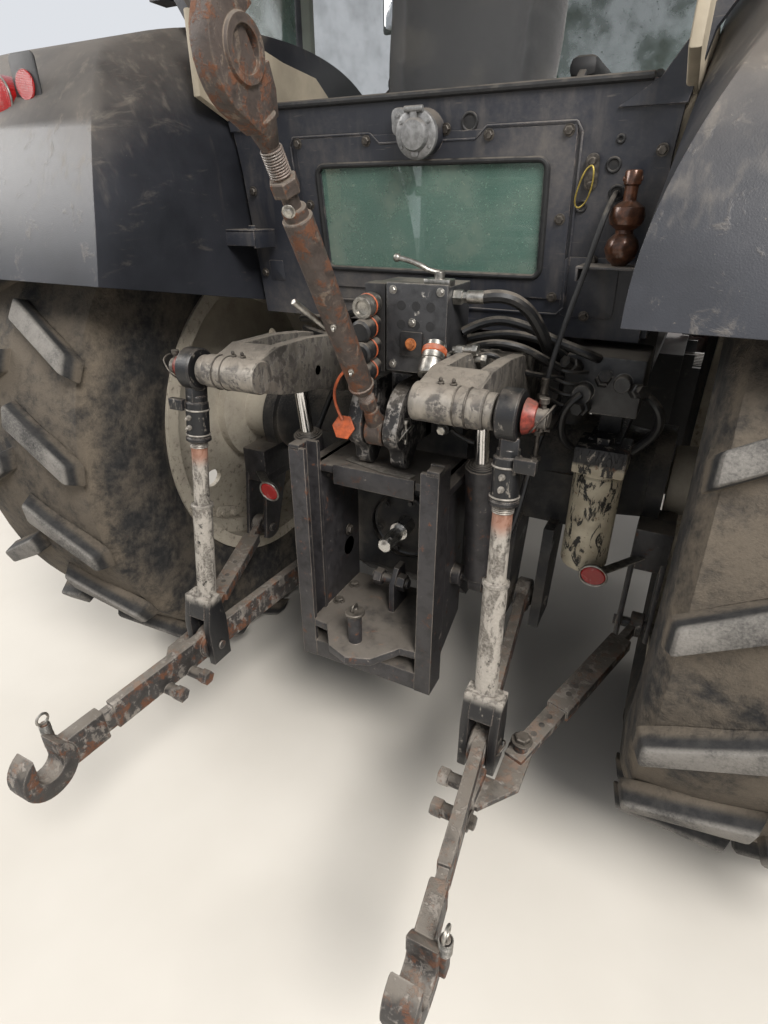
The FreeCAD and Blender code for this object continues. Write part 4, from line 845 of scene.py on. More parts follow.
class TRACTOR_OT_rear_panel(bpy.types.Operator):
    """Bolts, pressed lines, window bead, socket, grommets and the stored balls on the rear panel"""

    bl_idname = "tractor.rear_panel"
    bl_label = "Rear panel"

    def execute(self, context):
        heads = Shape()
        for x, height in PANEL_BOLTS:
            heads.bolt(on_panel(x, height, 0.0052), PANEL_OUT, 0.017)
        heads.put("panel_bolts", "dull_steel", "root", "bright_steel")

        edge = Shape()
        corners = [on_panel(x, height, 0.0052) for x, height in PLATE_EDGE]
        for a, b in zip(corners, corners[1:] + corners[:1]):
            edge.bar(a, b, 0.004, 0.004, 0.0012)
        edge.plate(rounded(0.118, 0.128, 0.014), 0.004, panel_place(0.386, 1.362, 0.0004), 0.001)
        edge.plate(rounded(0.046, 0.052, 0.004), 0.0016, panel_place(-0.448, 1.366, 0.0004), 0.0006)
        edge.box(at(0.372, -0.345, 1.408), at(0.506, -0.255, 1.413), 0.001)
        edge.box(at(0.372, -0.345, 1.385), at(0.377, -0.255, 1.410), 0.001)
        edge.put("panel_pressings", "cab_paint", "root", "cab_steel")

        step = Shape()
        step.box(at(-0.646, -0.352, 1.462), at(-0.430, -0.262, 1.468), 0.001)
        step.box(at(-0.646, -0.352, 1.430), at(-0.430, -0.347, 1.466), 0.001)
        step.box(at(-0.436, -0.350, 1.425), at(-0.430, -0.262, 1.466), 0.001)
        for x in (-0.606, -0.470):
            step.bolt(at(x, -0.306, 1.468), (0, 0, 1), 0.020)
        step.put("step_bracket", "cab_paint", "root", "cab_steel")

        bead = Shape()
        loop = [on_panel(x, 1.496 + y, 0.005) for x, y in rounded(0.556, 0.232, 0.022)]
        bead.hose(loop, 0.0065, closed=True)
        sill = [at(x, -0.297, SILL_Z + 0.004) for x in (-0.455, -0.2, 0.0, 0.2, 0.455)]
        bead.hose(sill, 0.008)
        for x, height, size in ((0.107, 1.682, 0.016), (0.405, 1.597, 0.012), (0.418, 1.548, 0.013),
                                (0.351, 1.524, 0.010), (0.412, 1.640, 0.006)):
            bead.ring(on_panel(x, height, 0.001), PANEL_OUT, size, 0.003)
            bead.rod(on_panel(x, height, -0.002), on_panel(x, height, 0.0012), size)
        bead.put("rubber_beads", "rubber", "root", "black_plastic")

        socket = Shape()
        centre = on_panel(0.007, 1.668, 0.042)
        socket.lathe([(0, 0), (0.046, 0), (0.047, 0.004), (0.046, 0.012), (0.040, 0.016), (0, 0.016)],
                     centre, PANEL_OUT)
        socket.lathe([(0, 0), (0.031, 0), (0.031, 0.005), (0.027, 0.011), (0.012, 0.0135), (0, 0.014)],
                     centre + PANEL_OUT * 0.016, PANEL_OUT)
        socket.plate(rounded(0.016, 0.090, 0.006), 0.006, panel_place(0.007, 1.672, 0.058), 0.002)
        socket.rod(on_panel(-0.014, 1.713, 0.060), on_panel(0.028, 1.713, 0.060), 0.006, edge=0.001)
        for turn in (35.0, 145.0, 215.0, 325.0):
            x, up = 0.039 * math.cos(math.radians(turn)), 0.039 * math.sin(math.radians(turn))
            socket.bolt(on_panel(0.007 + x, 1.668 + up, 0.056), PANEL_OUT, 0.008, washer=False)
        socket.plate(rounded(0.034, 0.052, 0.014), 0.020, panel_place(-0.046, 1.690, 0.0055), 0.004)
        socket.bolt(on_panel(-0.046, 1.702, 0.025), PANEL_OUT, 0.009)
        socket.put("trailer_socket", "die_cast", "root", "bright_steel")

        holder = Shape()
        holder.plate(rounded(0.026, 0.066, 0.012), 0.004, panel_place(0.366, 1.586, 0.0054), 0.001)
        holder.rod(on_panel(0.366, 1.606, 0.004), on_panel(0.366, 1.606, 0.018), 0.007, edge=0.001)
        holder.rod(on_panel(0.366, 1.566, 0.004), on_panel(0.366, 1.566, 0.022), 0.005, edge=0.001)
        holder.put("pin_holder", "dull_steel", "root", "bright_steel")
        wire = Shape()
        loop = [(0.368, 1.602, 0.020), (0.374, 1.588, 0.026), (0.372, 1.560, 0.022), (0.362, 1.532, 0.016),
                (0.346, 1.520, 0.010), (0.338, 1.534, 0.014), (0.346, 1.566, 0.020), (0.356, 1.592, 0.024)]
        wire.hose([on_panel(*place) for place in loop], 0.0017, 8, closed=True)
        wire.put("pin_wire", "yellow_wire", "root", "bright_steel")

        cable = Shape()
        cable.hose([on_panel(0.418, 1.548, 0.0), on_panel(0.417, 1.546, 0.030), at(0.412, -0.345, 1.500),
                    at(0.392, -0.352, 1.400), at(0.368, -0.372, 1.290), at(0.356, -0.392, 1.210),
                    at(0.353, -0.400, 1.168)], 0.0058)
        cable.put("lift_cable", "rubber", "root", "black_plastic")

        balls = Shape()
        post = at(0.449, -0.305, 1.413)
        balls.lathe([(0, 0), (0.013, 0), (0.016, 0.004), (0.027, 0.014), (0.033, 0.032), (0.029, 0.048),
                     (0.017, 0.060), (0.017, 0.066), (0.030, 0.076), (0.034, 0.090), (0.030, 0.106),
                     (0.018, 0.114), (0.0125, 0.117), (0.0125, 0.142), (0.016, 0.145), (0.016, 0.166),
                     (0.014, 0.169), (0, 0.169)], post, (0, 0, 1), 32)
        balls.rod(post + Vector((-0.018, 0, 0.155)), post + Vector((0.018, 0, 0.155)), 0.0045)
        balls.put("stored_balls", "ball_rust", "root", "linkage_steel")
        return {"FINISHED"}


class TRACTOR_OT_hydraulics(bpy.types.Operator):
    """Couplers with their caps, unions, hoses, steel pipes, the lever and the adjusting rod"""

    bl_idname = "tractor.hydraulics"
    bl_label = "Hydraulics"

    def coupler(self, shape, start, way, radius, long):
        """A quick coupler: knurled sleeve, release collar and an open mouth."""
        r, n = radius, long
        shape.lathe([(0, 0), (r * 0.8, 0), (r * 0.8, n * 0.2), (r, n * 0.22), (r, n * 0.52), (r * 0.9, n * 0.54),
                     (r * 0.9, n * 0.6), (r * 1.05, n * 0.62), (r * 1.05, n * 0.94), (r * 0.98, n),
                     (r * 0.66, n), (r * 0.62, n * 0.9), (r * 0.3, n * 0.88), (0, n * 0.88)], start, way)

    def execute(self, context):
        bright, dark, orange, rubber = Shape(), Shape(), Shape(), Shape()
        for height, shape in ((1.350, bright), (1.305, dark), (1.260, dark), (1.215, dark)):
            way = Vector((0, -0.992, -0.127))
            start = at(-0.008, -0.500, height - 0.009)
            self.coupler(shape, start, way, 0.0225, 0.058)
            orange.ring(start + way * 0.030, way, 0.0222, 0.0022)
        for height in (1.305, 1.260, 1.215):
            rubber.lathe([(0, 0.008), (0.018, 0.008), (0.0235, 0.004), (0.0235, -0.012), (0, -0.012)],
                         at(-0.008, -0.559, height - 0.017), (0, -0.992, -0.127))
        way = (at(0.150, -0.562, 1.210) - at(0.136, -0.470, 1.318)).normalized()
        self.coupler(bright, at(0.1425, -0.513, 1.268), way, 0.0245, 0.074)
        orange.lathe([(0.0246, 0), (0.0262, 0.002), (0.0262, 0.012), (0.0246, 0.014)],
                     at(0.1425, -0.513, 1.268) + way * 0.012, way)
        rubber.lathe([(0, 0), (0.024, 0), (0.027, 0.003), (0.027, 0.011), (0.023, 0.016), (0.019, 0.0135),
                      (0, 0.0135)], at(0.147, -0.5525, 1.175), (0, -1, -0.1))
        rubber.hose([at(0.172, -0.556, 1.176), at(0.190, -0.560, 1.190), at(0.186, -0.548, 1.222),
                     at(0.166, -0.530, 1.236)], 0.004)
        for x, y, z, size in ((0.149, -0.500, 1.106, 0.017), (0.160, -0.500, 1.080, 0.015),
                              (0.118, -0.492, 1.118, 0.013)):
            dark.rod(at(x, y + 0.090, z + 0.012), at(x, y, z), size, edge=0.003)
            bright.bolt(at(x, y, z), (0, -1, -0.1), size * 1.5, washer=False)
        for x, z in ((0.085, 1.305), (0.040, 1.215), (0.146, 1.215), (0.040, 1.368), (0.146, 1.368)):
            bright.bolt(at(x, -0.508, z), (0, -1, 0), 0.013)
        for x, y, z, reach in ((0.163, -0.470, 1.248, 0.042), (0.163, -0.450, 1.226, 0.058)):
            bright.rod(at(x, y, z), at(x + reach, y + 0.008, z + 0.004), 0.0085, edge=0.001)
            bright.lathe([(0, 0), (0.014, 0), (0.014, 0.016), (0, 0.016)], at(x + 0.010, y, z), (1, 0, 0), 6)
            bright.lathe([(0, 0), (0.012, 0), (0.012, 0.012), (0, 0.012)],
                         at(x + reach, y + 0.008, z + 0.004), (1, 0, 0), 6)
        bright.lathe([(0, 0), (0.016, 0), (0.016, 0.018), (0.012, 0.020), (0.012, 0.030), (0, 0.030)],
                     at(0.150, -0.440, 1.352), (1, 0.1, 0), 6)
        bright.rod(at(0.178, -0.438, 1.353), at(0.214, -0.434, 1.354), 0.0135, edge=0.001)
        bright.put("couplers", "plated_steel", "root", "bright_steel")

        dark.box(at(-0.032, -0.500, 1.192), at(0.018, -0.452, 1.378), 0.004)
        dark.plate(rounded(0.050, 0.050, 0.004), 0.006,
                   Matrix.Translation(at(0.086, -0.509, 1.262)) @ Matrix.Rotation(math.radians(90), 4, "X"), 0.001)
        dark.hose([at(0.210, -0.420, 1.030), at(0.160, -0.430, 1.045), at(0.150, -0.452, 1.078)], 0.006)
        dark.put("valve_fittings", "oily_black", "root", "linkage_steel")

        rust = Shape()
        rust.bolt(at(0.086, -0.5155, 1.262), (0, -1, 0), 0.019)
        rust.put("square_plate_bolt", "orange_rust", "root", "linkage_steel")

        orange.plate([(0.030, 0.0), (0.015, 0.026), (-0.015, 0.026), (-0.030, 0.0), (-0.015, -0.026),
                      (0.015, -0.026)], 0.004,
                     Matrix.Translation(at(-0.067, -0.545, 1.064)) @ Matrix.Rotation(math.radians(72), 4, "X"),
                     0.001)
        orange.hose([at(-0.018, -0.505, 1.215), at(-0.060, -0.530, 1.205), at(-0.092, -0.542, 1.160),
                     at(-0.088, -0.546, 1.110), at(-0.070, -0.546, 1.082)], 0.0035, 8)
        orange.put("coupler_rings", "orange_plastic", "root", "lamp_lens")

        for points, radius in (
            (((0.212, -0.434, 1.354), (0.250, -0.430, 1.362), (0.296, -0.404, 1.338), (0.325, -0.372, 1.286),
              (0.338, -0.330, 1.232), (0.350, -0.270, 1.200)), 0.0135),
            (((0.176, -0.400, 1.240), (0.220, -0.415, 1.262), (0.290, -0.405, 1.258), (0.345, -0.370, 1.225),
              (0.372, -0.330, 1.200)), 0.0085),
            (((0.200, -0.440, 1.228), (0.232, -0.436, 1.246), (0.262, -0.420, 1.224), (0.300, -0.372, 1.190),
              (0.372, -0.318, 1.178)), 0.0065),
            (((0.150, -0.380, 1.270), (0.200, -0.352, 1.300), (0.280, -0.345, 1.292), (0.345, -0.322, 1.258),
              (0.420, -0.330, 1.240), (0.440, -0.300, 1.225)), 0.0105),
            (((0.118, -0.340, 1.238), (0.200, -0.310, 1.262), (0.290, -0.290, 1.258), (0.350, -0.262, 1.226),
              (0.372, -0.240, 1.196)), 0.0095),
            (((0.540, -0.262, 1.150), (0.580, -0.300, 1.140), (0.592, -0.270, 1.080), (0.566, -0.242, 1.030),
              (0.540, -0.240, 1.004)), 0.0110),
            (((0.420, -0.336, 1.150), (0.392, -0.352, 1.128), (0.384, -0.330, 1.060), (0.400, -0.290, 1.012),
              (0.424, -0.270, 1.000)), 0.0090),
            (((-0.028, -0.420, 1.330), (-0.110, -0.400, 1.300), (-0.200, -0.360, 1.268), (-0.300, -0.320, 1.262),
              (-0.360, -0.260, 1.246)), 0.0100),
            (((-0.028, -0.420, 1.235), (-0.100, -0.410, 1.210), (-0.190, -0.372, 1.226), (-0.290, -0.330, 1.230),
              (-0.352, -0.262, 1.222)), 0.0085),
            (((0.243, -0.396, 0.700), (0.292, -0.402, 0.726), (0.320, -0.380, 0.840), (0.330, -0.330, 0.980),
              (0.350, -0.290, 1.090), (0.372, -0.260, 1.128)), 0.0080),
            (((-0.243, -0.396, 0.700), (-0.292, -0.402, 0.726), (-0.310, -0.372, 0.850),
              (-0.270, -0.320, 1.000), (-0.180, -0.300, 1.200), (-0.060, -0.345, 1.262)), 0.0080),
        ):
            rubber.hose([at(*point) for point in points], radius)
        rubber.put("hydraulic_hoses", "hose_rubber", "root", "black_plastic")

        pipes = Shape()
        for k in range(4):
            z = 1.118 + 0.026 * k
            pipes.hose([at(0.330 - 0.010 * k, -0.290, z + 0.010), at(0.360, -0.332 - 0.004 * k, z + 0.008),
                        at(0.400, -0.336, z), at(0.424, -0.312, z)], 0.0045, 8)
        for x, y, z, way in ((0.455, -0.306, 1.176, (0.2, -0.9, 0.5)), (0.433, -0.304, 1.117, (-0.3, -1, 0.1)),
                             (0.520, -0.304, 1.165, (0.5, -0.8, 0.2)), (0.404, -0.302, 1.200, (-0.5, -0.8, 0.4))):
            way = Vector(way).normalized()
            pipes.rod(at(x, y, z), at(x, y, z) + way * 0.055, 0.011, edge=0.002)
            pipes.lathe([(0, 0), (0.017, 0), (0.017, 0.018), (0.014, 0.020), (0, 0.020)],
                        at(x, y, z) + way * 0.014, way, 6)
            pipes.lathe([(0, 0), (0.014, 0), (0.014, 0.012), (0, 0.012)], at(x, y, z) + way * 0.044, way, 6)
        pipes.put("steering_pipes", "oily_black", "root", "linkage_steel")

        lever = Shape()
        lever.rod(at(0.121, -0.455, 1.374), at(0.121, -0.455, 1.402), 0.011, edge=0.001)
        lever.box(at(0.092, -0.472, 1.374), at(0.150, -0.438, 1.388), 0.002)
        lever.hose([at(0.121, -0.458, 1.400), at(0.104, -0.464, 1.402), at(0.083, -0.470, 1.414),
                    at(0.050, -0.472, 1.424), at(0.030, -0.470, 1.426)], 0.0055)
        lever.ball(at(0.030, -0.470, 1.426), 0.0085, 16)
        lever.put("valve_lever", "plated_steel", "root", "bright_steel")

        rod = Shape()
        rod.rod(at(0.352, -0.400, 1.172), at(0.350, -0.400, 0.982), 0.0052, edge=0.001)
        for z in (1.150, 1.088, 1.068, 1.006):
            rod.lathe([(0, 0), (0.0125, 0), (0.0125, 0.010), (0, 0.010)], at(0.351, -0.400, z), (0, 0, 1), 6)
        rod.rod(at(0.352, -0.400, 1.160), at(0.352, -0.400, 1.195), 0.0085, edge=0.001)
        rod.box(at(0.318, -0.412, 1.080), at(0.378, -0.300, 1.086), 0.001)
        rod.put("adjusting_rod", "dull_steel", "root", "bright_steel")
        return {"FINISHED"}


def outline(*items):
    """Points of (y, z); four numbers are an arc through their first pair to their second."""
    points = []
    for item in items:
        if len(item) == 2:
            points.append(Vector(item))
            continue
        a, b, c = points[-1], Vector(item[:2]), Vector(item[2:])
        area = 2 * (a.x * (b.y - c.y) + b.x * (c.y - a.y) + c.x * (a.y - b.y))
        squares = [(p.x * p.x + p.y * p.y) / area for p in (a, b, c)]
        middle = Vector((squares[0] * (b.y - c.y) + squares[1] * (c.y - a.y) + squares[2] * (a.y - b.y),
                         squares[0] * (c.x - b.x) + squares[1] * (a.x - c.x) + squares[2] * (b.x - a.x)))
        first, through, last = (math.atan2((p - middle).y, (p - middle).x) for p in (a, b, c))
        sweep = (last - first) % (2 * math.pi)
        if (through - first) % (2 * math.pi) > sweep:
            sweep -= 2 * math.pi
        radius = (a - middle).length
        steps = max(3, round(abs(sweep) / 0.22))
        for i in range(1, steps + 1):
            turn = first + sweep * i / steps
            points.append(middle + Vector((math.cos(turn), math.sin(turn))) * radius)
    return points


def along(a, b):
    """Gives places at a distance from a, on the line to b."""
    way = (b - a).normalized()
    return lambda distance: a + way * distance


class TRACTOR_OT_links(bpy.types.Operator):
    """Lower links with claw hooks and telescopic stabilizers, and the brackets that hold these"""

    bl_idname = "tractor.links"
    bl_label = "Lower links"

    def link(self, shape):
        front, pin, hook = at(0.325, -0.2, 0.5), at(0.385, -0.76, 0.475), at(0.435, -1.225, 0.45)
        to_hook = along(pin, hook)
        reach = (hook - pin).length
        shape.bar(front + (pin - front).normalized() * 0.045, pin, 0.027, 0.072, 0.003)
        shape.bar(pin, to_hook(0.3), 0.027, 0.076, 0.003)
        shape.bar(to_hook(0.24), to_hook(0.33), 0.02, 0.06, 0.002)
        shape.bar(to_hook(0.325), to_hook(reach - 0.042), 0.035, 0.082, 0.005)
        shape.lathe([(0.037, -0.02), (0.047, -0.02), (0.05, -0.017), (0.05, 0.017), (0.047, 0.02), (0.037, 0.02),
                     (0.037, -0.02)], front, (1, 0, 0), 40)
        shape.ball(front, 0.038, 28)
        shape.rod(at(0.365, -0.76, 0.475), at(0.405, -0.76, 0.475), 0.045, edge=0.004)
        shape.rod(at(0.339, -0.76, 0.475), at(0.431, -0.76, 0.475), 0.012, edge=0.001)
        y, z = -1.225, 0.45
        claw = outline((y + 0.026, z + 0.059), (y, z - 0.065, y - 0.026, z + 0.059), (y - 0.026, z + 0.021),
                       (y, z - 0.021, y + 0.026, z + 0.021))
        shape.slab(claw, 0.407, 0.463, 0.004)
        for x, y, z in ((0.322, -0.84, 0.43), (0.336, -0.915, 0.43)):
            shape.rod(at(x + 0.008, y, z), at(x + 0.08, y, z), 0.015, edge=0.001)
            shape.lathe([(0, 0), (0.018, 0), (0.02, 0.002), (0.02, 0.022), (0.018, 0.024), (0, 0.024)], at(x, y, z),
                        (1, 0, 0), 6)
        shape.box(at(0.461, -1.192, 0.43), at(0.475, -1.169, 0.494), 0.003)
        shape.rod(at(0.468, -1.181, 0.49), at(0.468, -1.181, 0.524), 0.008, edge=0.001)

    def stabilizer(self, shape, hole_shade):
        foot, eye = at(0.465, -0.722, 0.452), at(0.64, -0.2, 0.5)
        place = along(foot, eye)
        shape.plate([(0.4, -0.895), (0.426, -0.895), (0.488, -0.815), (0.49, -0.712), (0.478, -0.69),
                     (0.436, -0.69), (0.436, -0.815), (0.4, -0.815)], 0.014,
                    Matrix.Translation(at(0, 0, 0.438)), 0.002)
        shape.box(at(0.402, -0.9, 0.424), at(0.418, -0.815, 0.474), 0.003)
        shape.rod(at(0.465, -0.722, 0.43), at(0.465, -0.722, 0.486), 0.017, edge=0.002)
        shape.bar(place(-0.03), place(0.3), 0.044, 0.024, 0.003)
        shape.bar(place(0.15), place(0.465), 0.056, 0.034, 0.004)
        shape.bar(place(0.45), place((eye - foot).length - 0.02), 0.02, 0.034, 0.002)
        shape.lathe([(0.015, -0.017), (0.031, -0.017), (0.034, -0.014), (0.034, 0.014), (0.031, 0.017), (0.015, 0.017),
                     (0.015, -0.017)], eye, (1, 0, 0), 32)
        up = (eye - foot).cross(Vector((0, 0, 1))).cross(eye - foot).normalized()
        # The adjusting holes are not cut: thin dark rubber discs on the bar's face are painted shade where each hole
        # would be.
        for distance, half in ((0.052, 0.012), (0.084, 0.012), (0.116, 0.012), (0.2, 0.017), (0.232, 0.017), (0.3, 0.017)):
            hole_shade.rod(place(distance) + up * (half - 0.002), place(distance) + up * (half + 0.0004), 0.007)

    def execute(self, context):
        for side, word in SIDES:
            shape, hole_shade = Shape(), Shape()
            self.link(shape)
            self.stabilizer(shape, hole_shade)
            piece = shape.put("link_forging_" + word, "link_steel", "lower_link_" + word, "linkage_steel", side)
            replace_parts(piece, "lower_link_" + word)
            # Painted shade: dark discs standing in for the stabilizer's holes.
            hole_shade.put("stabilizer_holes_" + word, "rubber", "lower_link_" + word, "linkage_steel", side)
        stays = Shape()
        fork = outline((-0.236, 0.47), (-0.2, 0.458, -0.164, 0.47), (-0.08, 0.7), (-0.205, 0.7))
        stays.slab(fork, 0.588, 0.602, 0.003)
        stays.slab(fork, 0.664, 0.678, 0.003)
        stays.box(at(0.588, -0.205, 0.672), at(0.678, -0.06, 0.79), 0.004)
        stays.rod(at(0.58, -0.2, 0.5), at(0.684, -0.2, 0.5), 0.014, edge=0.001)
        stays.twin()
        stays.put("stabilizer_brackets", "frame_steel", "root", "black_casting")
        return {"FINISHED"}


class TRACTOR_OT_lift(bpy.types.Operator):
    """Forked lift arms, lift rods with sleeve, tube and fork, and the top link with its claw"""

    bl_idname = "tractor.lift"
    bl_label = "Lift"

    def arms(self):
        shape = Shape()
        y, z = LIFT_ARM_END
        turn_y, turn_z = -0.27, 1.14
        side = outline((turn_y, turn_z - 0.075), (turn_y + 0.075, turn_z, turn_y, turn_z + 0.075),
                       (-0.43, turn_z + 0.104, y + 0.07, z + 0.052), (y, z + 0.034), (y - 0.034, z, y, z - 0.034),
                       (y + 0.11, z - 0.064, -0.47, 1.122))
        for low, high in ((0.18, 0.208), (0.272, 0.302)):
            shape.slab(side, low, high, 0.004)
        shape.rod(at(0.168, turn_y, turn_z), at(0.302, turn_y, turn_z), 0.072, edge=0.004, steps=40)
        crown = outline((y + 0.16, z + 0.03), (y + 0.06, z + 0.054), (y, z + 0.034), (y - 0.02, z), (y + 0.03, z - 0.03),
                        (y + 0.11, z - 0.02))
        shape.slab(crown, 0.182, 0.3, 0.005)
        shape.rod(at(0.176, y, z), at(0.316, y, z), 0.036, edge=0.003, steps=36)
        shape.rod(at(0.316, y, z), at(0.334, y, z), 0.033, edge=0.002, steps=36)
        shape.rod(at(0.33, y, z), at(0.405, y, z), 0.012)
        shape.rod(at(0.385, y, z), at(0.403, y, z), 0.031, 0.024, steps=32)
        shape.rod(at(0.401, y, z), at(0.423, y, z), 0.018, edge=0.001)
        shape.rod(at(0.18, -0.47, 1.168), at(0.302, -0.47, 1.168), 0.012)
        shape.twin()
        shape.rod(at(-0.3, turn_y, turn_z), at(0.3, turn_y, turn_z), 0.042, steps=32)
        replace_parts(shape.put("arm_forgings", "arm_steel", "lift_arms", "linkage_steel"), "lift_arms")

    def rod(self, side, word):
        shape = Shape()
        top = at(0.361, *LIFT_ARM_END)
        low = at(0.385, *ROD_PIN)
        place = along(top, low)
        reach = (low - top).length
        shape.lathe([(0.013, -0.02), (0.043, -0.02), (0.046, -0.017), (0.046, 0.015), (0.043, 0.018), (0.013, 0.018),
                     (0.013, -0.02)], top, (1, 0, 0), 40)
        shape.bar(place(0.038), place(0.084), 0.034, 0.04, 0.004)
        for start, end, radius in ((0.06, 0.092, 0.021), (0.074, 0.164, 0.026), (0.156, 0.166, 0.029), (0.16, 0.33, 0.019),
                                   (0.326, 0.334, 0.025), (0.33, reach - 0.11, 0.024)):
            shape.rod(place(start), place(end), radius, edge=0.002, steps=32)
        shape.box(at(0.381, -0.728, 1.108), at(0.421, -0.712, 1.134), 0.002)
        y, z = ROD_PIN
        fork = outline((y - 0.032, z - 0.048), (y + 0.032, z - 0.048), (y + 0.034, z + 0.07), (y + 0.022, z + 0.15),
                       (y - 0.018, z + 0.15), (y - 0.034, z + 0.07))
        head = outline((y - 0.032, z + 0.094), (y + 0.032, z + 0.094), (y + 0.022, z + 0.15), (y - 0.018, z + 0.15))
        shape.slab(fork, 0.343, 0.363, 0.003)
        shape.slab(fork, 0.407, 0.427, 0.003)
        shape.slab(head, 0.36, 0.41)
        piece = shape.put("rod_forging_" + word, "rods", "lift_rod_" + word, "linkage_steel", side)
        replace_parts(piece, "lift_rod_" + word)

    def top_link(self):
        shape = Shape()
        lean = math.radians(TOP_LINK_LEAN)
        low = at(0, *TOP_PIN)
        reach = TOP_LINK_LONG
        way = Vector((0, -math.sin(lean), math.cos(lean)))
        across = Vector((0, math.cos(lean), math.sin(lean)))
        place = along(low, low + way)

        def beside(distance, off):
            spot = place(distance) + across * off
            return (spot.y - REAR_AXLE_Y, spot.z)

        claw = outline(beside(reach - 0.092, -0.024), beside(reach - 0.06, -0.046),
                       beside(reach, -0.066) + beside(reach + 0.06, -0.03),
                       beside(reach + 0.074, 0.004) + beside(reach + 0.062, 0.044), beside(reach + 0.03, 0.052),
                       beside(reach + 0.026, 0.02), beside(reach - 0.026, 0.02), beside(reach - 0.03, 0.046),
                       beside(reach - 0.064, 0.04), beside(reach - 0.092, 0.024))
        shape.lathe([(0.013, -0.022), (0.033, -0.022), (0.036, -0.019), (0.036, 0.019), (0.033, 0.022), (0.013, 0.022),
                     (0.013, -0.022)], low, (1, 0, 0), 36)
        for start, end, radius, tip in ((0.03, 0.072, 0.021, 0.017), (0.06, 0.24, 0.014, 0.014), (0.13, 0.15, 0.021, 0.021),
                                        (0.14, reach - 0.23, 0.026, 0.026), (reach - 0.24, reach - 0.214, 0.021, 0.021),
                                        (reach - 0.26, reach - 0.1, 0.014, 0.014),
                                        (reach - 0.12, reach - 0.08, 0.015, 0.025)):
            shape.rod(place(start), place(end), radius, tip, edge=0.0015, steps=32)
        for start, size in ((0.084, 0.021), (reach - 0.19, 0.024)):
            shape.lathe([(0, 0), (size - 0.002, 0), (size, 0.002), (size, 0.022), (size - 0.002, 0.024), (0, 0.024)],
                        place(start), way, 6)
        shape.slab(claw, -0.017, 0.017, 0.004)
        free = place(reach)
        ball = [(0.027, -0.022)] + [(math.sqrt(0.044 ** 2 - h ** 2), h) for h in
                                  (-0.022, -0.014, -0.005, 0.005, 0.014, 0.022)] + [(0.027, 0.022), (0.027, -0.022)]
        shape.lathe(ball, free, (1, 0, 0), 40)
        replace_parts(shape.put("top_link_forging", "top_link_steel", "top_link", "linkage_steel"), "top_link")

    def execute(self, context):
        self.arms()
        for side, word in SIDES:
            self.rod(side, word)
        self.top_link()
        return {"FINISHED"}


class TRACTOR_OT_hitch(bpy.types.Operator):
    """The ladder of channel rails with its plates, and the two cast fingers of the top link"""

    bl_idname = "tractor.hitch"
    bl_label = "Hitch"

    def execute(self, context):
        shape = Shape()
        back, front, rear = -0.594, -0.524, -0.33
        low, high, wall = 0.151, 0.195, 0.012
        shape.plate([(low, back), (high, back), (high, front), (low, front), (low, front - wall),
                     (high - wall, front - wall), (high - wall, back + wall), (low, back + wall)], 0.627,
                    Matrix.Translation(at(0, 0, 0.383)), 0.002)
        shape.box(at(high - 0.03, back, 1.005), at(high, back + 0.034, 1.018), 0.002)
        shape.slab(outline((rear, 0.48), (rear, 0.95), (front - 0.002, 0.95), (front - 0.002, 0.4), (-0.48, 0.4)),
                   0.155, 0.171, 0.002)
        shape.rod(at(0.183, -0.39, 0.64), at(0.266, -0.39, 0.64), 0.012, edge=0.001)
        shape.rod(at(0.155, -0.39, 0.64), at(0.195, -0.39, 0.64), 0.03, edge=0.002)
        shape.twin()
        shape.box(at(-0.195, front - 0.002, 0.93), at(0.195, rear, 0.95), 0.002)
        shape.box(at(-0.11, front - 0.01, 0.905), at(0.11, front, 0.958), 0.002)
        shape.plate([(-0.16, rear), (-0.16, -0.592), (-0.11, -0.598), (-0.06, -0.668), (0, -0.69), (0.06, -0.668),
                     (0.11, -0.598), (0.16, -0.592), (0.16, rear)], 0.024, Matrix.Translation(at(0, 0, 0.488)), 0.003)
        shape.box(at(-0.194, back + 0.001, 0.384), at(0.194, -0.534, 0.44), 0.003)
        shape.rod(at(-0.008, -0.62, 0.507), at(-0.008, -0.62, 0.6), 0.018, edge=0.002)
        shape.slab(outline((-0.47, 0.507), (-0.47, 0.6), (-0.44, 0.64), (-0.4, 0.64), (-0.38, 0.507)),
                   0.014, 0.03, 0.002)
        shape.rod(at(-0.048, -0.44, 0.6), at(0.062, -0.44, 0.6), 0.013, edge=0.001)
        for x in (-0.04, 0.03):
            shape.lathe([(0, 0), (0.022, 0), (0.024, 0.002), (0.024, 0.022), (0.022, 0.024), (0, 0.024)],
                        at(x, -0.44, 0.6), (1, 0, 0), 6)
        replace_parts(shape.put("ladder", "frame_steel", "root", "linkage_steel"), "hitch_frame")

        fingers = Shape()
        y, z = TOP_PIN
        finger = outline((rear, 1.0), (-0.412, 1.003), (y + 0.074, z - 0.07, y + 0.062, z - 0.082),
                         (y + 0.032, z - 0.099, y + 0.004, z - 0.076), (y + 0.001, z - 0.054, y - 0.022, z - 0.032),
                         (y - 0.038, z, y - 0.028, z + 0.036), (y + 0.004, z + 0.086, y + 0.06, z + 0.106), (rear, 1.16))
        fingers.slab(finger, 0.027, 0.066, 0.006)
        fingers.twin()
        fingers.box(at(-0.066, -0.372, 1.002), at(0.066, rear, 1.158), 0.003)
        fingers.rod(at(-0.074, y, z), at(0.074, y, z), 0.0125, edge=0.001)
        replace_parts(fingers.put("fingers", "bracket_steel", "root", "linkage_steel"), "top_link_bracket")
        return {"FINISHED"}


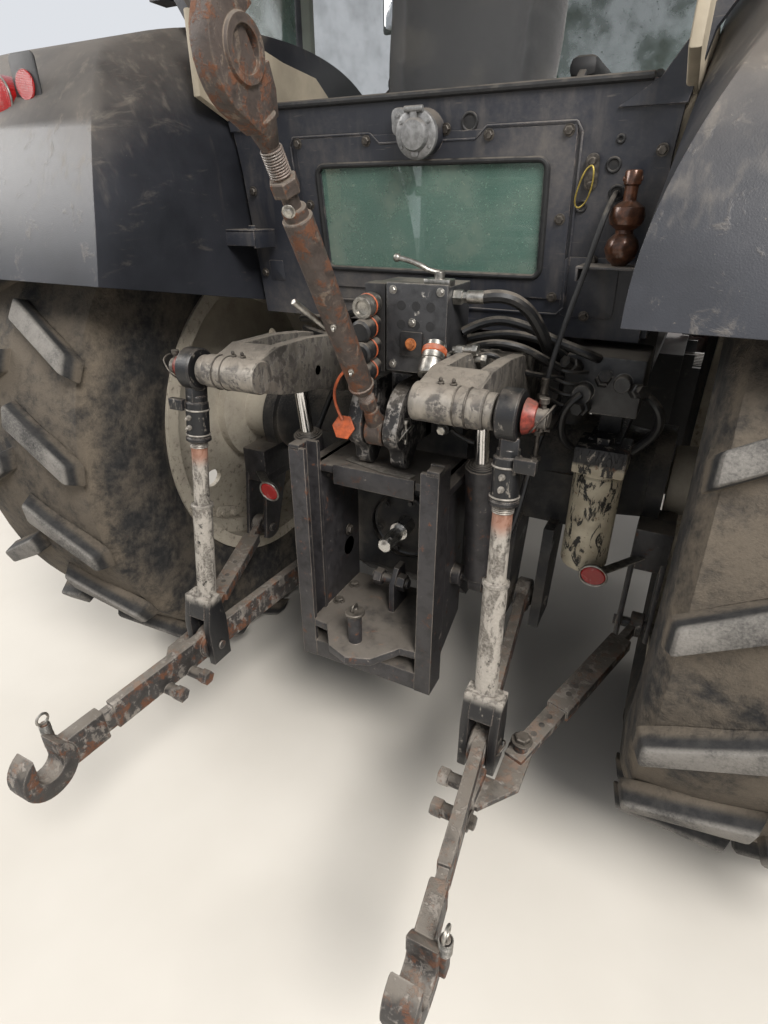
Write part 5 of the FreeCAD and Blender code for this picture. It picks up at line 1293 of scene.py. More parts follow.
class TRACTOR_OT_valves(bpy.types.Operator):
    """Remote valves behind their plate, whose perforations are dark rubber discs of painted shade, and the filter under
    its steering valve
    """

    bl_idname = "tractor.valves"
    bl_label = "Valves and filter"

    def execute(self, context):
        shape, hole_shade = Shape(), Shape()
        shape.box(at(0.04, -0.48, 1.225), at(0.15, -0.34, 1.375), 0.003)
        for x in (0.052, 0.138):
            for z in (1.24, 1.36):
                shape.rod(at(x, -0.502, z), at(x, -0.47, z), 0.009)
        shape.box(at(0.024, -0.508, 1.2), at(0.162, -0.5, 1.382), 0.002)
        # The plate is not cut through: thin dark rubber discs on its face are painted shade where each perforation
        # would be.
        for x in (0.06, 0.093, 0.126):
            for z in (1.262, 1.3, 1.338):
                hole_shade.rod(at(x, -0.506, z), at(x, -0.5084, z), 0.01)
        for z in (1.215, 1.26, 1.305, 1.35):
            place = along(at(-0.008, -0.43, z), at(-0.008, -0.524, z - 0.012))
            shape.rod(place(0), place(0.086), 0.017)
        shape.box(at(-0.03, -0.45, 1.195), at(0.044, -0.34, 1.375), 0.003)
        shape.box(at(0.128, -0.49, 1.165), at(0.162, -0.44, 1.24), 0.003)
        shape.rod(at(0.147, -0.47, 1.186), at(0.147, -0.548, 1.176), 0.019, edge=0.001)
        shape.box(at(-0.03, -0.345, 1.183), at(0.162, -0.206, 1.235), 0.003)
        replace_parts(shape.put("valve_block", "valve_steel", "root", "linkage_steel"), "remote_valves")
        hole_shade.put("valve_plate_hole_shade", "rubber", "root", "linkage_steel")

        filter_low = 0.997
        can = Shape()
        can.lathe([(0, -0.317), (0.044, -0.317), (0.054, -0.309), (0.058, -0.3), (0.058, -0.055), (0.054, -0.05),
                   (0.054, -0.036), (0, -0.036)], at(0.478, -0.25, filter_low), (0, 0, 1), 40)
        can.box(at(0.42, -0.312, filter_low - 0.042), at(0.54, -0.196, filter_low + 0.025), 0.005)
        can.lathe([(0, 0), (0.026, 0), (0.026, 0.014), (0, 0.014)], at(0.478, -0.25, filter_low + 0.025), (0, 0, 1), 6)
        can.box(at(0.44, -0.25, filter_low), at(0.516, 0.04, filter_low + 0.03), 0.004)
        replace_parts(can.put("filter_body", "filter_paint", "root", "filter_can"), "oil_filter")
        block = Shape()
        block.box(at(0.452, -0.19, filter_low + 0.02), at(0.504, -0.13, filter_low + 0.113), 0.003)
        block.box(at(0.372, -0.3, filter_low + 0.103), at(0.54, -0.12, filter_low + 0.233), 0.005)
        block.rod(at(0.42, -0.336, filter_low + 0.153), at(0.42, -0.29, filter_low + 0.153), 0.022, edge=0.002)
        block.rod(at(0.5, -0.33, filter_low + 0.183), at(0.5, -0.29, filter_low + 0.183), 0.018, edge=0.002)
        block.put("steering_valve", "valve_steel", "root", "linkage_steel")
        return {"FINISHED"}


LUG_SHAPE = ((0.03, 0.024), (0.97, -0.112), (0.97, -0.172), (0.03, -0.04))  # share of half width, place along


class TRACTOR_OT_tyres(bpy.types.Operator):
    """Radial tyres: a round carcass with two staggered rows of slanting lugs"""

    bl_idname = "tractor.tyres"
    bl_label = "Tyres"

    def tyre(self, x, y, z, wide, rim_wide, seat, lug, lugs, scale):
        shape = Shape()
        half, bead, crown = wide / 2, rim_wide / 2 - 0.008, z - lug
        middle = (seat + crown) / 2
        carcass = [(seat, -bead), (seat + 0.036, -bead), (seat + 0.06, -half * 0.93), (middle, -half + 0.002),
                   (crown - 0.06, -half * 0.95), (crown - 0.016, -half * 0.86), (crown - 0.003, -half * 0.45),
                   (crown, 0.0)]
        carcass += [(r, -h) for r, h in reversed(carcass[:-1])] + [(seat, -bead)]
        shape.lathe(carcass, (x, y, z), (1, 0, 0), 96)
        centre = sum(place for _, place in LUG_SHAPE) / 4
        foot = [Vector((share * half, (place - centre) * scale, crown - 0.014)) for share, place in LUG_SHAPE]
        heart = sum(foot, Vector()) / 4
        tip = [heart + (p - heart) * 0.86 for p in foot]
        for i in range(lugs):
            for row in (0, 1):
                form = bmesh.new()
                low = [form.verts.new(p) for p in foot]
                high = [form.verts.new((p.x, p.y, math.sqrt(z * z - p.y * p.y))) for p in tip]
                form.faces.new(low)
                form.faces.new(high)
                for k in range(4):
                    form.faces.new((low[k], low[(k + 1) % 4], high[(k + 1) % 4], high[k]))
                bmesh.ops.recalc_face_normals(form, faces=form.faces)
                shape.soften(form, 0.007)
                turn = Matrix.Rotation(2 * math.pi * (i + 0.5 * row) / lugs, 4, "X")
                flip = Matrix.Diagonal((1 - 2 * row, 1, 1, 1))
                shape.add(form, Matrix.Translation((x, y, z)) @ turn @ flip)
        return shape

    def execute(self, context):
        for axle, track, y, z, wide, rim_wide, seat, lug, lugs in (
            ("rear", 1.84, REAR_AXLE_Y, REAR_AXLE_Z, 0.52, 0.47, 0.484, 0.045, 20),
            ("front", 1.86, FRONT_AXLE_Y, FRONT_AXLE_Z, 0.42, 0.375, 0.356, 0.036, 18),
        ):
            for side, word in SIDES:
                shape = self.tyre(track / 2, y, z, wide, rim_wide, seat, lug, lugs, wide / 0.52)
                body = f"{axle}_wheel_{word}"
                piece = shape.put(f"{axle}_tread_{word}", f"{axle}_tyre", body, "tyre_rubber", side)
                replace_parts(piece, f"{axle}_tyre_{word}")
        return {"FINISHED"}


class TRACTOR_OT_lamps(bpy.types.Operator):
    """Lamp housings on bonnet and roof, the grille, and the mirrors on their arms"""

    bl_idname = "tractor.lamps"
    bl_label = "Lamps, grille and mirrors"

    def execute(self, context):
        face = 3.43
        housings = Shape()
        for s in (-1, 1):
            housings.lathe([(0.05, 0), (0.058, 0), (0.058, 0.024), (0.055, 0.026), (0.05, 0.026), (0.05, 0)],
                           at(s * 0.24, face, 1.33), (0, 1, 0), 40)
            housings.rod(at(s * 0.24, face - 0.002, 1.33), at(s * 0.24, face + 0.01, 1.33), 0.051)
            housings.box(at(s * 0.24 - 0.044, face - 0.002, 1.17), at(s * 0.24 + 0.044, face + 0.014, 1.232), 0.003)
        # A thin black sheet right behind the grille mesh: painted shade standing in for the dark space behind the
        # grille.
        housings.box(at(-0.172, face - 0.002, 1.07), at(0.172, face + 0.001, 1.42), 0.0005)
        housings.put("bonnet_lamp_housings", "black_plastic", "bonnet", "black_plastic")
        bars = Shape()
        for i in range(11):
            z = 1.066 + 0.034 * i
            bars.box(at(-0.176, face, z), at(0.176, face + 0.008, z + 0.014), 0.003)
        for x in (-0.182, 0.174):
            bars.box(at(x, face, 1.066), at(x + 0.008, face + 0.008, 1.42), 0.002)
        bars.put("grille_bars", "body_paint", "bonnet", "red_paint")

        work = Shape()
        glass = Shape()
        for s in (-1, 1):
            for x in (0.35, 0.5):
                for y, way in ((1.42, 1), (-0.42, -1)):
                    near, far = sorted((y, y + way * 0.024))
                    work.box(at(s * x - 0.055, near, 2.645), at(s * x + 0.055, far, 2.715), 0.006)
                    near, far = sorted((y + way * 0.023, y + way * 0.026))
                    glass.box(at(s * x - 0.047, near, 2.652), at(s * x + 0.047, far, 2.708), 0.001)
        work.put("work_lamp_housings", "black_plastic", "root", "black_plastic")
        glass.put("work_lamp_lenses", "clear_lens", "root", "lamp_lens")

        for side, word in SIDES:
            mirror = Shape()
            mirror.rod(at(0.6, 1.418, 2.65), at(0.6, 1.438, 2.65), 0.026, edge=0.003)
            mirror.hose([at(0.6, 1.434, 2.65), at(0.76, 1.45, 2.64), at(0.905, 1.462, 2.626),
                         at(0.906, 1.464, 2.56), at(0.906, 1.464, 2.44)], 0.011)
            mirror.box(at(0.83, 1.45, 2.24), at(0.985, 1.478, 2.54), 0.011)
            mirror.put("mirror_" + word, "black_plastic", "root", "black_plastic", side)
        return {"FINISHED"}


class TRACTOR_OT_linkage(bpy.types.Operator):
    """Worn bushes, linch pins, grease nipples, threads and the latch springs of the linkage"""

    bl_idname = "tractor.linkage"
    bl_label = "Linkage"

    def threads(self, shape, start, way, radius, count, pitch=0.0036):
        """Rings close together, as a cut thread looks."""
        way = Vector(way).normalized()
        for i in range(count):
            shape.ring(start + way * pitch * i, way, radius, pitch * 0.42, 24, 6)

    def nipple(self, shape, place, way):
        shape.lathe([(0, 0), (0.006, 0), (0.006, 0.005), (0.0025, 0.006), (0.004, 0.010), (0.0025, 0.014),
                     (0, 0.014)], place, way, 12)

    def linch_pin(self, shape, place, reach=0.030):
        """A short pin through an end, with its sprung ring folded round."""
        shape.rod(place + Vector((0, 0, 0.026)), place + Vector((0, 0, -0.024)), 0.0048, edge=0.001)
        shape.rod(place + Vector((0, 0, 0.026)), place + Vector((0, 0, 0.036)), 0.0085, edge=0.001)
        turn = Matrix.Rotation(math.radians(35), 3, "Y")
        loop = [place + turn @ Vector(p) for p in ((0, -0.010, 0.030), (0, -reach, 0.020), (0, -reach, -0.020),
                                                   (0, -0.004, -0.034), (0, 0.020, -0.022), (0, 0.022, 0.016),
                                                   (0, 0.006, 0.030))]
        shape.hose(loop, 0.0019, 8, closed=True)

    def execute(self, context):
        for side, word in SIDES:
            bush = Shape()
            bush.lathe([(0.0125, -0.001), (0.0318, -0.001), (0.0318, 0.001), (0.0252, 0.0195), (0.0190, 0.0200)],
                       at(LIFT_ARM_X + 0.0402, *LIFT_ARM_END), (1, 0, 0), 32)
            bush.put("lift_bush_" + word, "worn_red", "lift_arms", "linkage_steel", side)

            pins = Shape()
            pins.rod(at(LIFT_ARM_X + 0.078, *LIFT_ARM_END), at(LIFT_ARM_X + 0.081, *LIFT_ARM_END), 0.015, edge=0.001)
            self.linch_pin(pins, at(LIFT_ARM_X + 0.069, *LIFT_ARM_END))
            for x in (0.225, 0.250):
                self.nipple(pins, at(x, LIFT_ARM_END[0] + 0.005, LIFT_ARM_END[1] + 0.035), (0, -0.3, 1))
            pins.ring(at(0.284, *LIFT_ARM_END), (1, 0, 0), 0.0362, 0.0022)
            pins.ring(at(0.262, *LIFT_ARM_END), (1, 0, 0), 0.0362, 0.0016)
            pins.put("lift_pin_" + word, "dull_steel", "lift_arms", "bright_steel", side)

            claw = Shape()
            self.linch_pin(claw, at(0.426, *ROD_PIN) + Vector((-0.006, 0, 0)), 0.026)
            claw.put("link_pin_" + word, "dull_steel", "lower_link_" + word, "bright_steel", side)

            latch = Shape()
            spot = at(0.468, -1.181, 0.520)
            for i in range(8):
                latch.ring(spot - Vector((0, 0, 0.0042 * i)), (0, 0, 1), 0.0105, 0.0017, 16, 6)
            latch.ring(spot + Vector((0, 0, 0.016)), (1, 0, 0), 0.013, 0.003, 20, 8)
            latch.put("latch_spring_" + word, "plated_steel", "lower_link_" + word, "bright_steel", side)

            nuts = Shape()
            for y, z in ((-0.840, 0.430), (-0.915, 0.430)):
                x = 0.402 if y > -0.9 else 0.416
                nuts.bolt(at(x, y, z), (1, 0, 0), 0.032)
            nuts.bolt(at(0.465, -0.722, 0.486), (0, 0, 1), 0.034)
            nuts.put("link_nuts_" + word, "dull_steel", "lower_link_" + word, "bright_steel", side)

            top = at(LIFT_ARM_X + 0.016, *LIFT_ARM_END)
            low = at(0.385, *ROD_PIN)
            way = (low - top).normalized()
            turned = Shape()
            self.threads(turned, top + way * 0.166, way, 0.0195, 5)
            turned.ring(top + way * 0.092, way, 0.0262, 0.0022)
            turned.ring(top + way * 0.150, way, 0.0266, 0.0020)
            for d in (0.105, 0.128):
                self.nipple(turned, top + way * d + Vector((0, -0.0255, 0)), (0, -1, 0))
            turned.lathe([(0.0245, 0), (0.0272, 0.002), (0.0272, 0.008), (0.0245, 0.010)],
                         top + way * 0.3255, way)
            turned.put("rod_threads_" + word, "pale_steel", "lift_rod_" + word, "linkage_steel", side)

            cap = Shape()
            foot, head = at(0.240, -0.390, 0.640), at(0.240, -0.470, 1.168)
            way = (head - foot).normalized()
            for r, d in ((0.0325, 0.3525), (0.0265, 0.3535), (0.0205, 0.3545)):
                cap.ring(foot + way * d, way, r, 0.0026, 36, 8)
            cap.lathe([(0.0145, 0), (0.0195, 0), (0.0195, 0.006), (0.0150, 0.009)], foot + way * 0.352, way)
            cap.bolt(foot + way * 0.300 + Vector((0.033, -0.008, 0)), (1, -0.2, 0), 0.020)
            cap.put("cylinder_cap_" + word, "oily_black", "lift_cylinder_barrels", "linkage_steel", side)

        link = Shape()
        low = at(0.0, *TOP_PIN)
        lean = math.radians(TOP_LINK_LEAN)
        way = Vector((0, -math.sin(lean), math.cos(lean)))
        self.threads(link, low + way * 0.109, way, 0.0150, 6, 0.004)
        self.threads(link, low + way * (TOP_LINK_LONG - 0.160), way, 0.0160, 10, 0.004)
        link.ring(low + way * 0.150, way, 0.0262, 0.0025)
        link.put("top_link_threads", "rusty_steel", "top_link", "linkage_steel")
        spots = Shape()
        side_way = Vector((0.35, -math.cos(lean), -math.sin(lean))).normalized()
        for d in (0.215, 0.330):
            self.nipple(spots, low + way * d + side_way * 0.0252, side_way)
        spots.rod(low + way * 0.300 + Vector((-0.020, -0.010, 0)),
                  low + way * 0.345 + Vector((-0.050, -0.055, 0.020)), 0.006, edge=0.001)
        spots.bolt(low + way * (TOP_LINK_LONG - 0.205) + side_way * 0.026, side_way, 0.016)
        spots.put("top_link_fittings", "plated_steel", "top_link", "bright_steel")

        hooks = Shape()
        self.linch_pin(hooks, at(0.071, *TOP_PIN) + Vector((0, 0, 0)), 0.024)
        for x in (-0.0475, 0.0475):
            hooks.bolt(at(x, -0.372, 1.142), (0, -1, 0), 0.018)
        hooks.put("top_pin_clip", "plated_steel", "root", "bright_steel")

        ladder = Shape()
        for x in (-0.135, 0.135):
            for y in (-0.400, -0.490):
                ladder.bolt(at(x, y, 0.512), (0, 0, 1), 0.026)
        for z in (0.470, 0.700, 0.860):
            for x in (-0.149, 0.149):
                ladder.bolt(at(x, -0.400, z), (math.copysign(1, -x), 0, 0), 0.026)
        ladder.rod(at(-0.008, -0.620, 0.597), at(-0.008, -0.620, 0.606), 0.026, edge=0.002)
        ladder.ring(at(-0.008, -0.620, 0.614), (1, 0, 0), 0.012, 0.0035, 20, 8)
        ladder.put("ladder_bolts", "dull_steel", "root", "bright_steel")
        strip = Shape()
        strip.bar(at(-0.100, -0.470, 0.9525), at(0.020, -0.500, 0.9525), 0.026, 0.003, 0.0008)
        strip.bar(at(0.016, -0.499, 0.9525), at(0.098, -0.516, 0.958), 0.026, 0.003, 0.0008)
        strip.put("bent_strip", "pale_steel", "root", "linkage_steel")

        splines = Shape()
        for i in range(6):
            turn = math.radians(60 * i)
            way = Vector((math.cos(turn), 0, math.sin(turn)))
            splines.box(Vector((-0.0042, -0.0385, 0.0155)), Vector((0.0042, 0.0385, 0.0192)), 0.0006)
            verts = [v for v in splines.bm.verts if not v.tag]
            bmesh.ops.rotate(splines.bm, cent=(0, 0, 0), matrix=Matrix.Rotation(turn, 3, "Y"), verts=verts)
            bmesh.ops.translate(splines.bm, vec=at(0, -0.4315, 0.720), verts=verts)
            for v in verts:
                v.tag = True
        splines.put("power_shaft_splines", "plated_steel", "pto_shaft", "bright_steel")
        guard = Shape()
        guard.lathe([(0.0930, 0), (0.0990, 0.003), (0.0990, 0.020), (0.0930, 0.024)], at(0, -0.330, 0.720), (0, -1, 0), 40)
        for i in range(6):
            turn = math.radians(60 * i + 15)
            guard.bolt(at(0.078 * math.cos(turn), -0.3463, 0.720 + 0.078 * math.sin(turn)), (0, -1, 0), 0.016)
        guard.put("power_shaft_cover", "oily_black", "root", "black_casting")
        return {"FINISHED"}


class TRACTOR_OT_wheels(bpy.types.Operator):
    """Wheel nuts, rim clamps, valves and hub caps"""

    bl_idname = "tractor.wheels"
    bl_label = "Wheels"

    def execute(self, context):
        for axle, y, z, disc, face, ring, nut, clamp, clamp_x, cap in (
            ("rear", 0.0, REAR_AXLE_Z, 0.805, 0.034, 0.150, 0.042, 0.412, 0.8405, 0.068),
            ("front", WHEELBASE, FRONT_AXLE_Z, 0.880, 0.030, 0.138, 0.036, 0.288, 0.9155, 0.084),
        ):
            for side, word in SIDES:
                body = f"{axle}_wheel_{word}"
                nuts = Shape()
                for i in range(8):
                    turn = 2 * math.pi * i / 8
                    place = at(disc + 0.009, y + ring * math.cos(turn), z + ring * math.sin(turn))
                    nuts.bolt(place, (1, 0, 0), nut, face)
                nuts.put(f"{axle}_wheel_nuts_{word}", "dull_steel", body, "bright_steel", side)
                clamps = Shape()
                for i in range(8):
                    turn = 2 * math.pi * (i + 0.5) / 8
                    radial = Vector((0, math.cos(turn), math.sin(turn)))
                    along_rim = Vector((0, -math.sin(turn), math.cos(turn)))
                    middle = at(clamp_x, y, z) + radial * clamp
                    turned = Matrix((along_rim, radial, Vector((-1, 0, 0)))).transposed().to_4x4()
                    clamps.plate(rounded(0.118, 0.054, 0.026), 0.010, Matrix.Translation(middle) @ turned, 0.002)
                    for k in (-1, 1):
                        clamps.bolt(middle + along_rim * 0.032 * k + Vector((-0.010, 0, 0)), (-1, 0, 0), 0.026)
                clamps.put(f"{axle}_rim_clamps_{word}", f"{axle}_rim", body, "rim_paint", side)
                cover = Shape()
                cover.lathe([(0, 0.012), (0.030, 0.011), (0.046, 0.006), (0.050, 0), (0.046, -0.002)],
                            at(disc + cap, y, z), (1, 0, 0), 32)
                for i in range(3):
                    turn = 2 * math.pi * i / 3
                    cover.bolt(at(disc + cap + 0.004, y + 0.034 * math.cos(turn), z + 0.034 * math.sin(turn)),
                               (1, 0, 0), 0.012)
                reach = clamp * 1.02
                cover.rod(at(disc + 0.050, y + reach * 0.5, z - reach * 0.866),
                          at(disc + 0.094, y + reach * 0.5, z - reach * 0.866), 0.006, edge=0.001)
                cover.put(f"{axle}_hub_cap_{word}", "oily_black", body, "black_casting", side)
        return {"FINISHED"}


def crown(wide, deep, high, dip, bolster, roll):
    """A closed cushion form: crowned top with raised side bolsters, round corners and a rolled front."""
    bm = bmesh.new()
    count = 26
    rows = []
    for j in range(count + 1):
        v = 2.0 * j / count - 1.0
        row = []
        for i in range(count + 1):
            u = 2.0 * i / count - 1.0
            squeeze = 1.0 - 0.10 * abs(u * v) ** 2
            edge = 1.0 - max(abs(u), abs(v)) ** 5
            lift = high * (0.42 + 0.58 * max(0.0, edge) ** 0.45)
            lift -= dip * math.exp(-((u / 0.5) ** 2) - ((v + 0.15) / 0.7) ** 2)
            lift += bolster * math.exp(-(((abs(u) - 0.76) / 0.15) ** 2)) * max(0.0, edge) ** 0.3
            lift -= roll * max(0.0, v - 0.45) ** 2
            row.append(bm.verts.new((u * wide / 2 * squeeze, v * deep / 2 * squeeze, lift)))
        rows.append(row)
    for j in range(count):
        for i in range(count):
            bm.faces.new((rows[j][i], rows[j][i + 1], rows[j + 1][i + 1], rows[j + 1][i]))
    made = bmesh.ops.duplicate(bm, geom=bm.verts[:] + bm.edges[:] + bm.faces[:])["geom"]
    for vert in (g for g in made if isinstance(g, bmesh.types.BMVert)):
        vert.co.z = 0.0
        vert.co.x *= 0.97
        vert.co.y *= 0.97
    bmesh.ops.reverse_faces(bm, faces=[g for g in made if isinstance(g, bmesh.types.BMFace)])
    bmesh.ops.bridge_loops(bm, edges=[e for e in bm.edges if e.is_boundary])
    bmesh.ops.recalc_face_normals(bm, faces=bm.faces)
    return bm


class TRACTOR_OT_seat(bpy.types.Operator):
    """The driver's seat: two sewn cushions with piping, arm rests and a sprung base with bellows"""

    bl_idname = "tractor.seat"
    bl_label = "Seat"

    SWELL = 0.012

    def apply(self, piece):
        """Writes what the modifiers make into the mesh itself."""
        graph = bpy.context.evaluated_depsgraph_get()
        made = bpy.data.meshes.new_from_object(piece.evaluated_get(graph))
        old = piece.data
        piece.modifiers.clear()
        piece.data = made
        bpy.data.meshes.remove(old)

    def plump(self, piece):
        """Cloth pressure on the cover, with how far a point may move kept to SWELL."""
        start = [vert.co.copy() for vert in piece.data.vertices]
        cloth = piece.modifiers.new("cloth", "CLOTH")
        cloth.settings.quality = 4
        cloth.settings.tension_stiffness = 25
        cloth.settings.compression_stiffness = 25
        cloth.settings.use_pressure = True
        cloth.settings.uniform_pressure_force = 4.0
        cloth.settings.effector_weights.gravity = 0.0
        for number in range(1, 15):
            bpy.context.scene.frame_set(number)
        self.apply(piece)
        bpy.context.scene.frame_set(1)
        for vert, first in zip(piece.data.vertices, start):
            move = vert.co - first
            if move.length > self.SWELL:
                vert.co = first + move * (self.SWELL / move.length)

    def cushion(self, name, form, place):
        mesh = bpy.data.meshes.new(name)
        bmesh.ops.transform(form, matrix=place, verts=form.verts)
        form.to_mesh(mesh)
        form.free()
        piece = bpy.data.objects.new(name, mesh)
        bpy.context.scene.collection.objects.link(piece)
        remesh = piece.modifiers.new("remesh", "REMESH")
        remesh.mode = "VOXEL"
        remesh.voxel_size = 0.008
        self.apply(piece)
        self.plump(piece)
        smooth = piece.modifiers.new("smooth", "SMOOTH")
        smooth.iterations = 5
        self.apply(piece)
        for face in piece.data.polygons:
            face.use_smooth = True
        piece.data.materials.clear()
        piece.data.materials.append(FINISHES["cloth"])
        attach(piece, "root")
        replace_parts(piece, "seat")
        return piece

    def execute(self, context):
        flat = Matrix.Translation(at(0, 0.365, 1.572))
        self.cushion("seat_cushion", crown(0.452, 0.470, 0.088, 0.016, 0.020, 0.10), flat)
        lean = math.atan2(0.065, 0.570)
        turn = Matrix.Rotation(-math.radians(90) + lean, 4, "X")
        upright = Matrix.Translation(at(0, 0.055, 1.900)) @ Matrix.Rotation(math.radians(180), 4, "Z") @ turn
        self.cushion("seat_back", crown(0.444, 0.545, 0.098, 0.012, 0.024, 0.04), upright)

        seams = Shape()
        for x in (-0.142, 0.142):
            seams.hose([at(x, 0.140, 1.640), at(x, 0.30, 1.6555), at(x, 0.46, 1.6575), at(x, 0.570, 1.632),
                        at(x, 0.596, 1.598)], 0.0028, 8)
            seams.hose([at(x, 0.160, 1.650), at(x, 0.146, 1.800), at(x, 0.122, 1.960), at(x, 0.086, 2.130)],
                       0.0028, 8)
        loop = [at(0.222 * math.cos(a), 0.365 + 0.232 * math.sin(a), 1.588)
                for a in (math.radians(15 * i) for i in range(24))]
        seams.hose([at(math.copysign(min(abs(p.x) * 1.28, 0.226), p.x), 0.0, 0.0)
                    + Vector((0, p.y - REAR_AXLE_Y, 1.588)) for p in loop], 0.0034, 8, closed=True)
        seams.put("seat_piping", "grey_trim", "root", "seat_cloth")

        base = Shape()
        base.box(at(-0.215, 0.150, 1.548), at(0.215, 0.590, 1.574), 0.006)
        base.box(at(-0.205, 0.175, 1.285), at(0.205, 0.565, 1.312), 0.005)
        for i in range(7):
            z = 1.322 + 0.0325 * i
            base.box(at(-0.188, 0.192, z), at(0.188, 0.548, z + 0.020), 0.008)
        base.box(at(-0.180, 0.200, 1.300), at(0.180, 0.540, 1.556))
        for x in (-0.246, 0.246):
            base.bar(at(x, 0.200, 1.560), at(x * 1.02, 0.060, 1.800), 0.020, 0.045, 0.005)
            base.box(at(x - 0.034, 0.090, 1.795), at(x + 0.034, 0.420, 1.842), 0.018)
        base.box(at(-0.200, -0.012, 1.640), at(0.200, 0.020, 2.120), 0.014,
                 Matrix.Rotation(lean, 4, "X"))
        base.rod(at(0.150, 0.585, 1.556), at(0.150, 0.625, 1.548), 0.009, edge=0.002)
        piece = base.put("seat_base", "black_plastic", "root", "black_plastic")
        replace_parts(piece, "seat")
        return {"FINISHED"}


class TRACTOR_OT_cab(bpy.types.Operator):
    """Inside trim, instruments, pedals and levers, and the doors' handles, seals and the wipers"""

    bl_idname = "tractor.cab"
    bl_label = "Cab"

    def execute(self, context):
        trim = Shape()
        for s in (-1, 1):
            trim.plate([(-0.400, 1.745), (-0.400, 1.905), (-0.280, 1.897), (-0.060, 1.862), (0.100, 1.850),
                        (0.220, 1.780), (0.230, 1.300), (-0.170, 1.300), (-0.270, 1.700)], 0.022,
                       Matrix.Translation(at(s * 0.520 - 0.011, 0, 0))
                       @ Matrix(((0, 0, 1), (1, 0, 0), (0, 1, 0))).to_4x4(), 0.006)
        trim.put("side_trim", "beige_trim", "root", "interior_plastic")

        posts = Shape()
        for s in (-1, 1):
            posts.bar(at(s * 0.735, 0.408, 1.40), at(s * 0.735, 0.408, 2.58), 0.050, 0.030, 0.008)
            posts.bar(at(s * 0.560, 1.290, 1.76), at(s * 0.560, 1.290, 2.56), 0.036, 0.024, 0.007)
        posts.box(at(-0.55, -0.10, 2.555), at(0.55, 1.20, 2.590), 0.012)
        posts.put("post_trim", "grey_trim", "root", "interior_plastic")

        dash = Shape()
        dash.box(at(-0.150, 1.048, 1.620), at(0.150, 1.082, 1.715), 0.016, Matrix.Rotation(math.radians(-24), 4, "X"))
        dash.rod(at(-0.235, 1.000, 1.665), at(-0.060, 1.040, 1.640), 0.008, edge=0.002)
        dash.rod(at(0.235, 1.000, 1.665), at(0.060, 1.040, 1.640), 0.008, edge=0.002)
        for x, wide in ((-0.130, 0.075), (0.060, 0.060), (0.150, 0.060)):
            dash.bar(at(x, 1.060, 1.560), at(x, 0.960, 1.372), 0.022, 0.012, 0.003)
            dash.box(at(x - wide / 2, 0.925, 1.340), at(x + wide / 2, 0.955, 1.415), 0.006,
                     Matrix.Rotation(math.radians(-30), 4, "X"))
        for y, reach in ((0.330, 0.10), (0.410, 0.13), (0.500, 0.11), (0.590, 0.09)):
            dash.rod(at(0.385, y, 1.690), at(0.385, y + 0.018, 1.700 + reach), 0.006, edge=0.001)
            dash.ball(at(0.385, y + 0.019, 1.706 + reach), 0.017, 16)
        dash.box(at(0.320, 0.640, 1.692), at(0.470, 0.800, 1.722), 0.010)
        dash.put("controls", "black_plastic", "root", "black_plastic")

        dials = Shape()
        turn = Matrix.Rotation(math.radians(90 - 24), 4, "X")
        for x, size in ((-0.075, 0.036), (0.0, 0.024), (0.075, 0.036)):
            way = (turn.to_3x3() @ Vector((0, 0, 1))).normalized()
            dials.rod(at(x, 1.041, 1.674), at(x, 1.041, 1.674) + way * 0.006, size, edge=0.002)
        dials.put("dials", "cream_paint", "root", "interior_plastic")

        wheel = Shape()
        tilt = math.radians(32)
        way = Vector((0, -math.sin(tilt), math.cos(tilt)))
        hub = at(0, 0.985, 1.745)
        wheel.lathe([(0, 0.016), (0.022, 0.015), (0.040, 0.010), (0.048, 0), (0.048, -0.020), (0, -0.020)], hub, way)
        wheel.ball(hub + Vector((-0.190, 0.020, 0.045)), 0.016, 16)
        wheel.put("wheel_cap", "black_plastic", "steering_wheel", "interior_plastic")

        for side, word in SIDES:
            way, out = Vector((0.1836, -0.983, 0)), Vector((0.983, 0.1836, 0))
            grip = at(0.600, 1.330, 2.0) + way * 0.895 + out * 0.072
            handle = Shape()
            handle.box(grip + Vector((-0.014, -0.028, -0.080)), grip + Vector((0.010, 0.028, 0.080)), 0.008)
            handle.hose([grip + out * 0.004 + Vector((0, 0, 0.070)), grip + out * 0.034 + Vector((0, 0, 0.055)),
                         grip + out * 0.036, grip + out * 0.034 - Vector((0, 0, 0.055)),
                         grip + out * 0.004 - Vector((0, 0, 0.070))], 0.0085)
            handle.rod(grip + out * 0.004, grip + out * 0.016, 0.011, edge=0.002)
            handle.put("door_handle_" + word, "black_plastic", "door_" + word, "black_plastic", side)
            mirror = Shape()
            mirror.plate(rounded(0.130, 0.272, 0.024), 0.004,
                         Matrix.Translation(at(0.9075, 1.4505, 2.390)) @ Matrix.Rotation(math.radians(90), 4, "X"),
                         0.001)
            mirror.put("mirror_glass_" + word, "mirror", "root", "cab_glass", side)

        wipers = Shape()
        wipers.rod(at(0.060, 1.372, 1.700), at(0.060, 1.392, 1.700), 0.018, edge=0.003)
        wipers.bar(at(0.060, 1.388, 1.700), at(-0.210, 1.372, 2.110), 0.010, 0.006, 0.001)
        wipers.bar(at(-0.060, 1.364, 1.930), at(-0.330, 1.364, 2.250), 0.010, 0.014, 0.002)
        wipers.put("wiper", "rubber", "root", "black_plastic")

        seals = Shape()
        for y in (0.060, 0.470):
            seals.box(at(-0.330, y, 2.806), at(0.330, y + 0.014, 2.817), 0.004)
        for x in (-0.330, 0.316):
            seals.box(at(x, 0.060, 2.806), at(x + 0.014, 0.484, 2.817), 0.004)
        seals.put("roof_hatch_seal", "rubber", "root", "black_plastic")
        return {"FINISHED"}


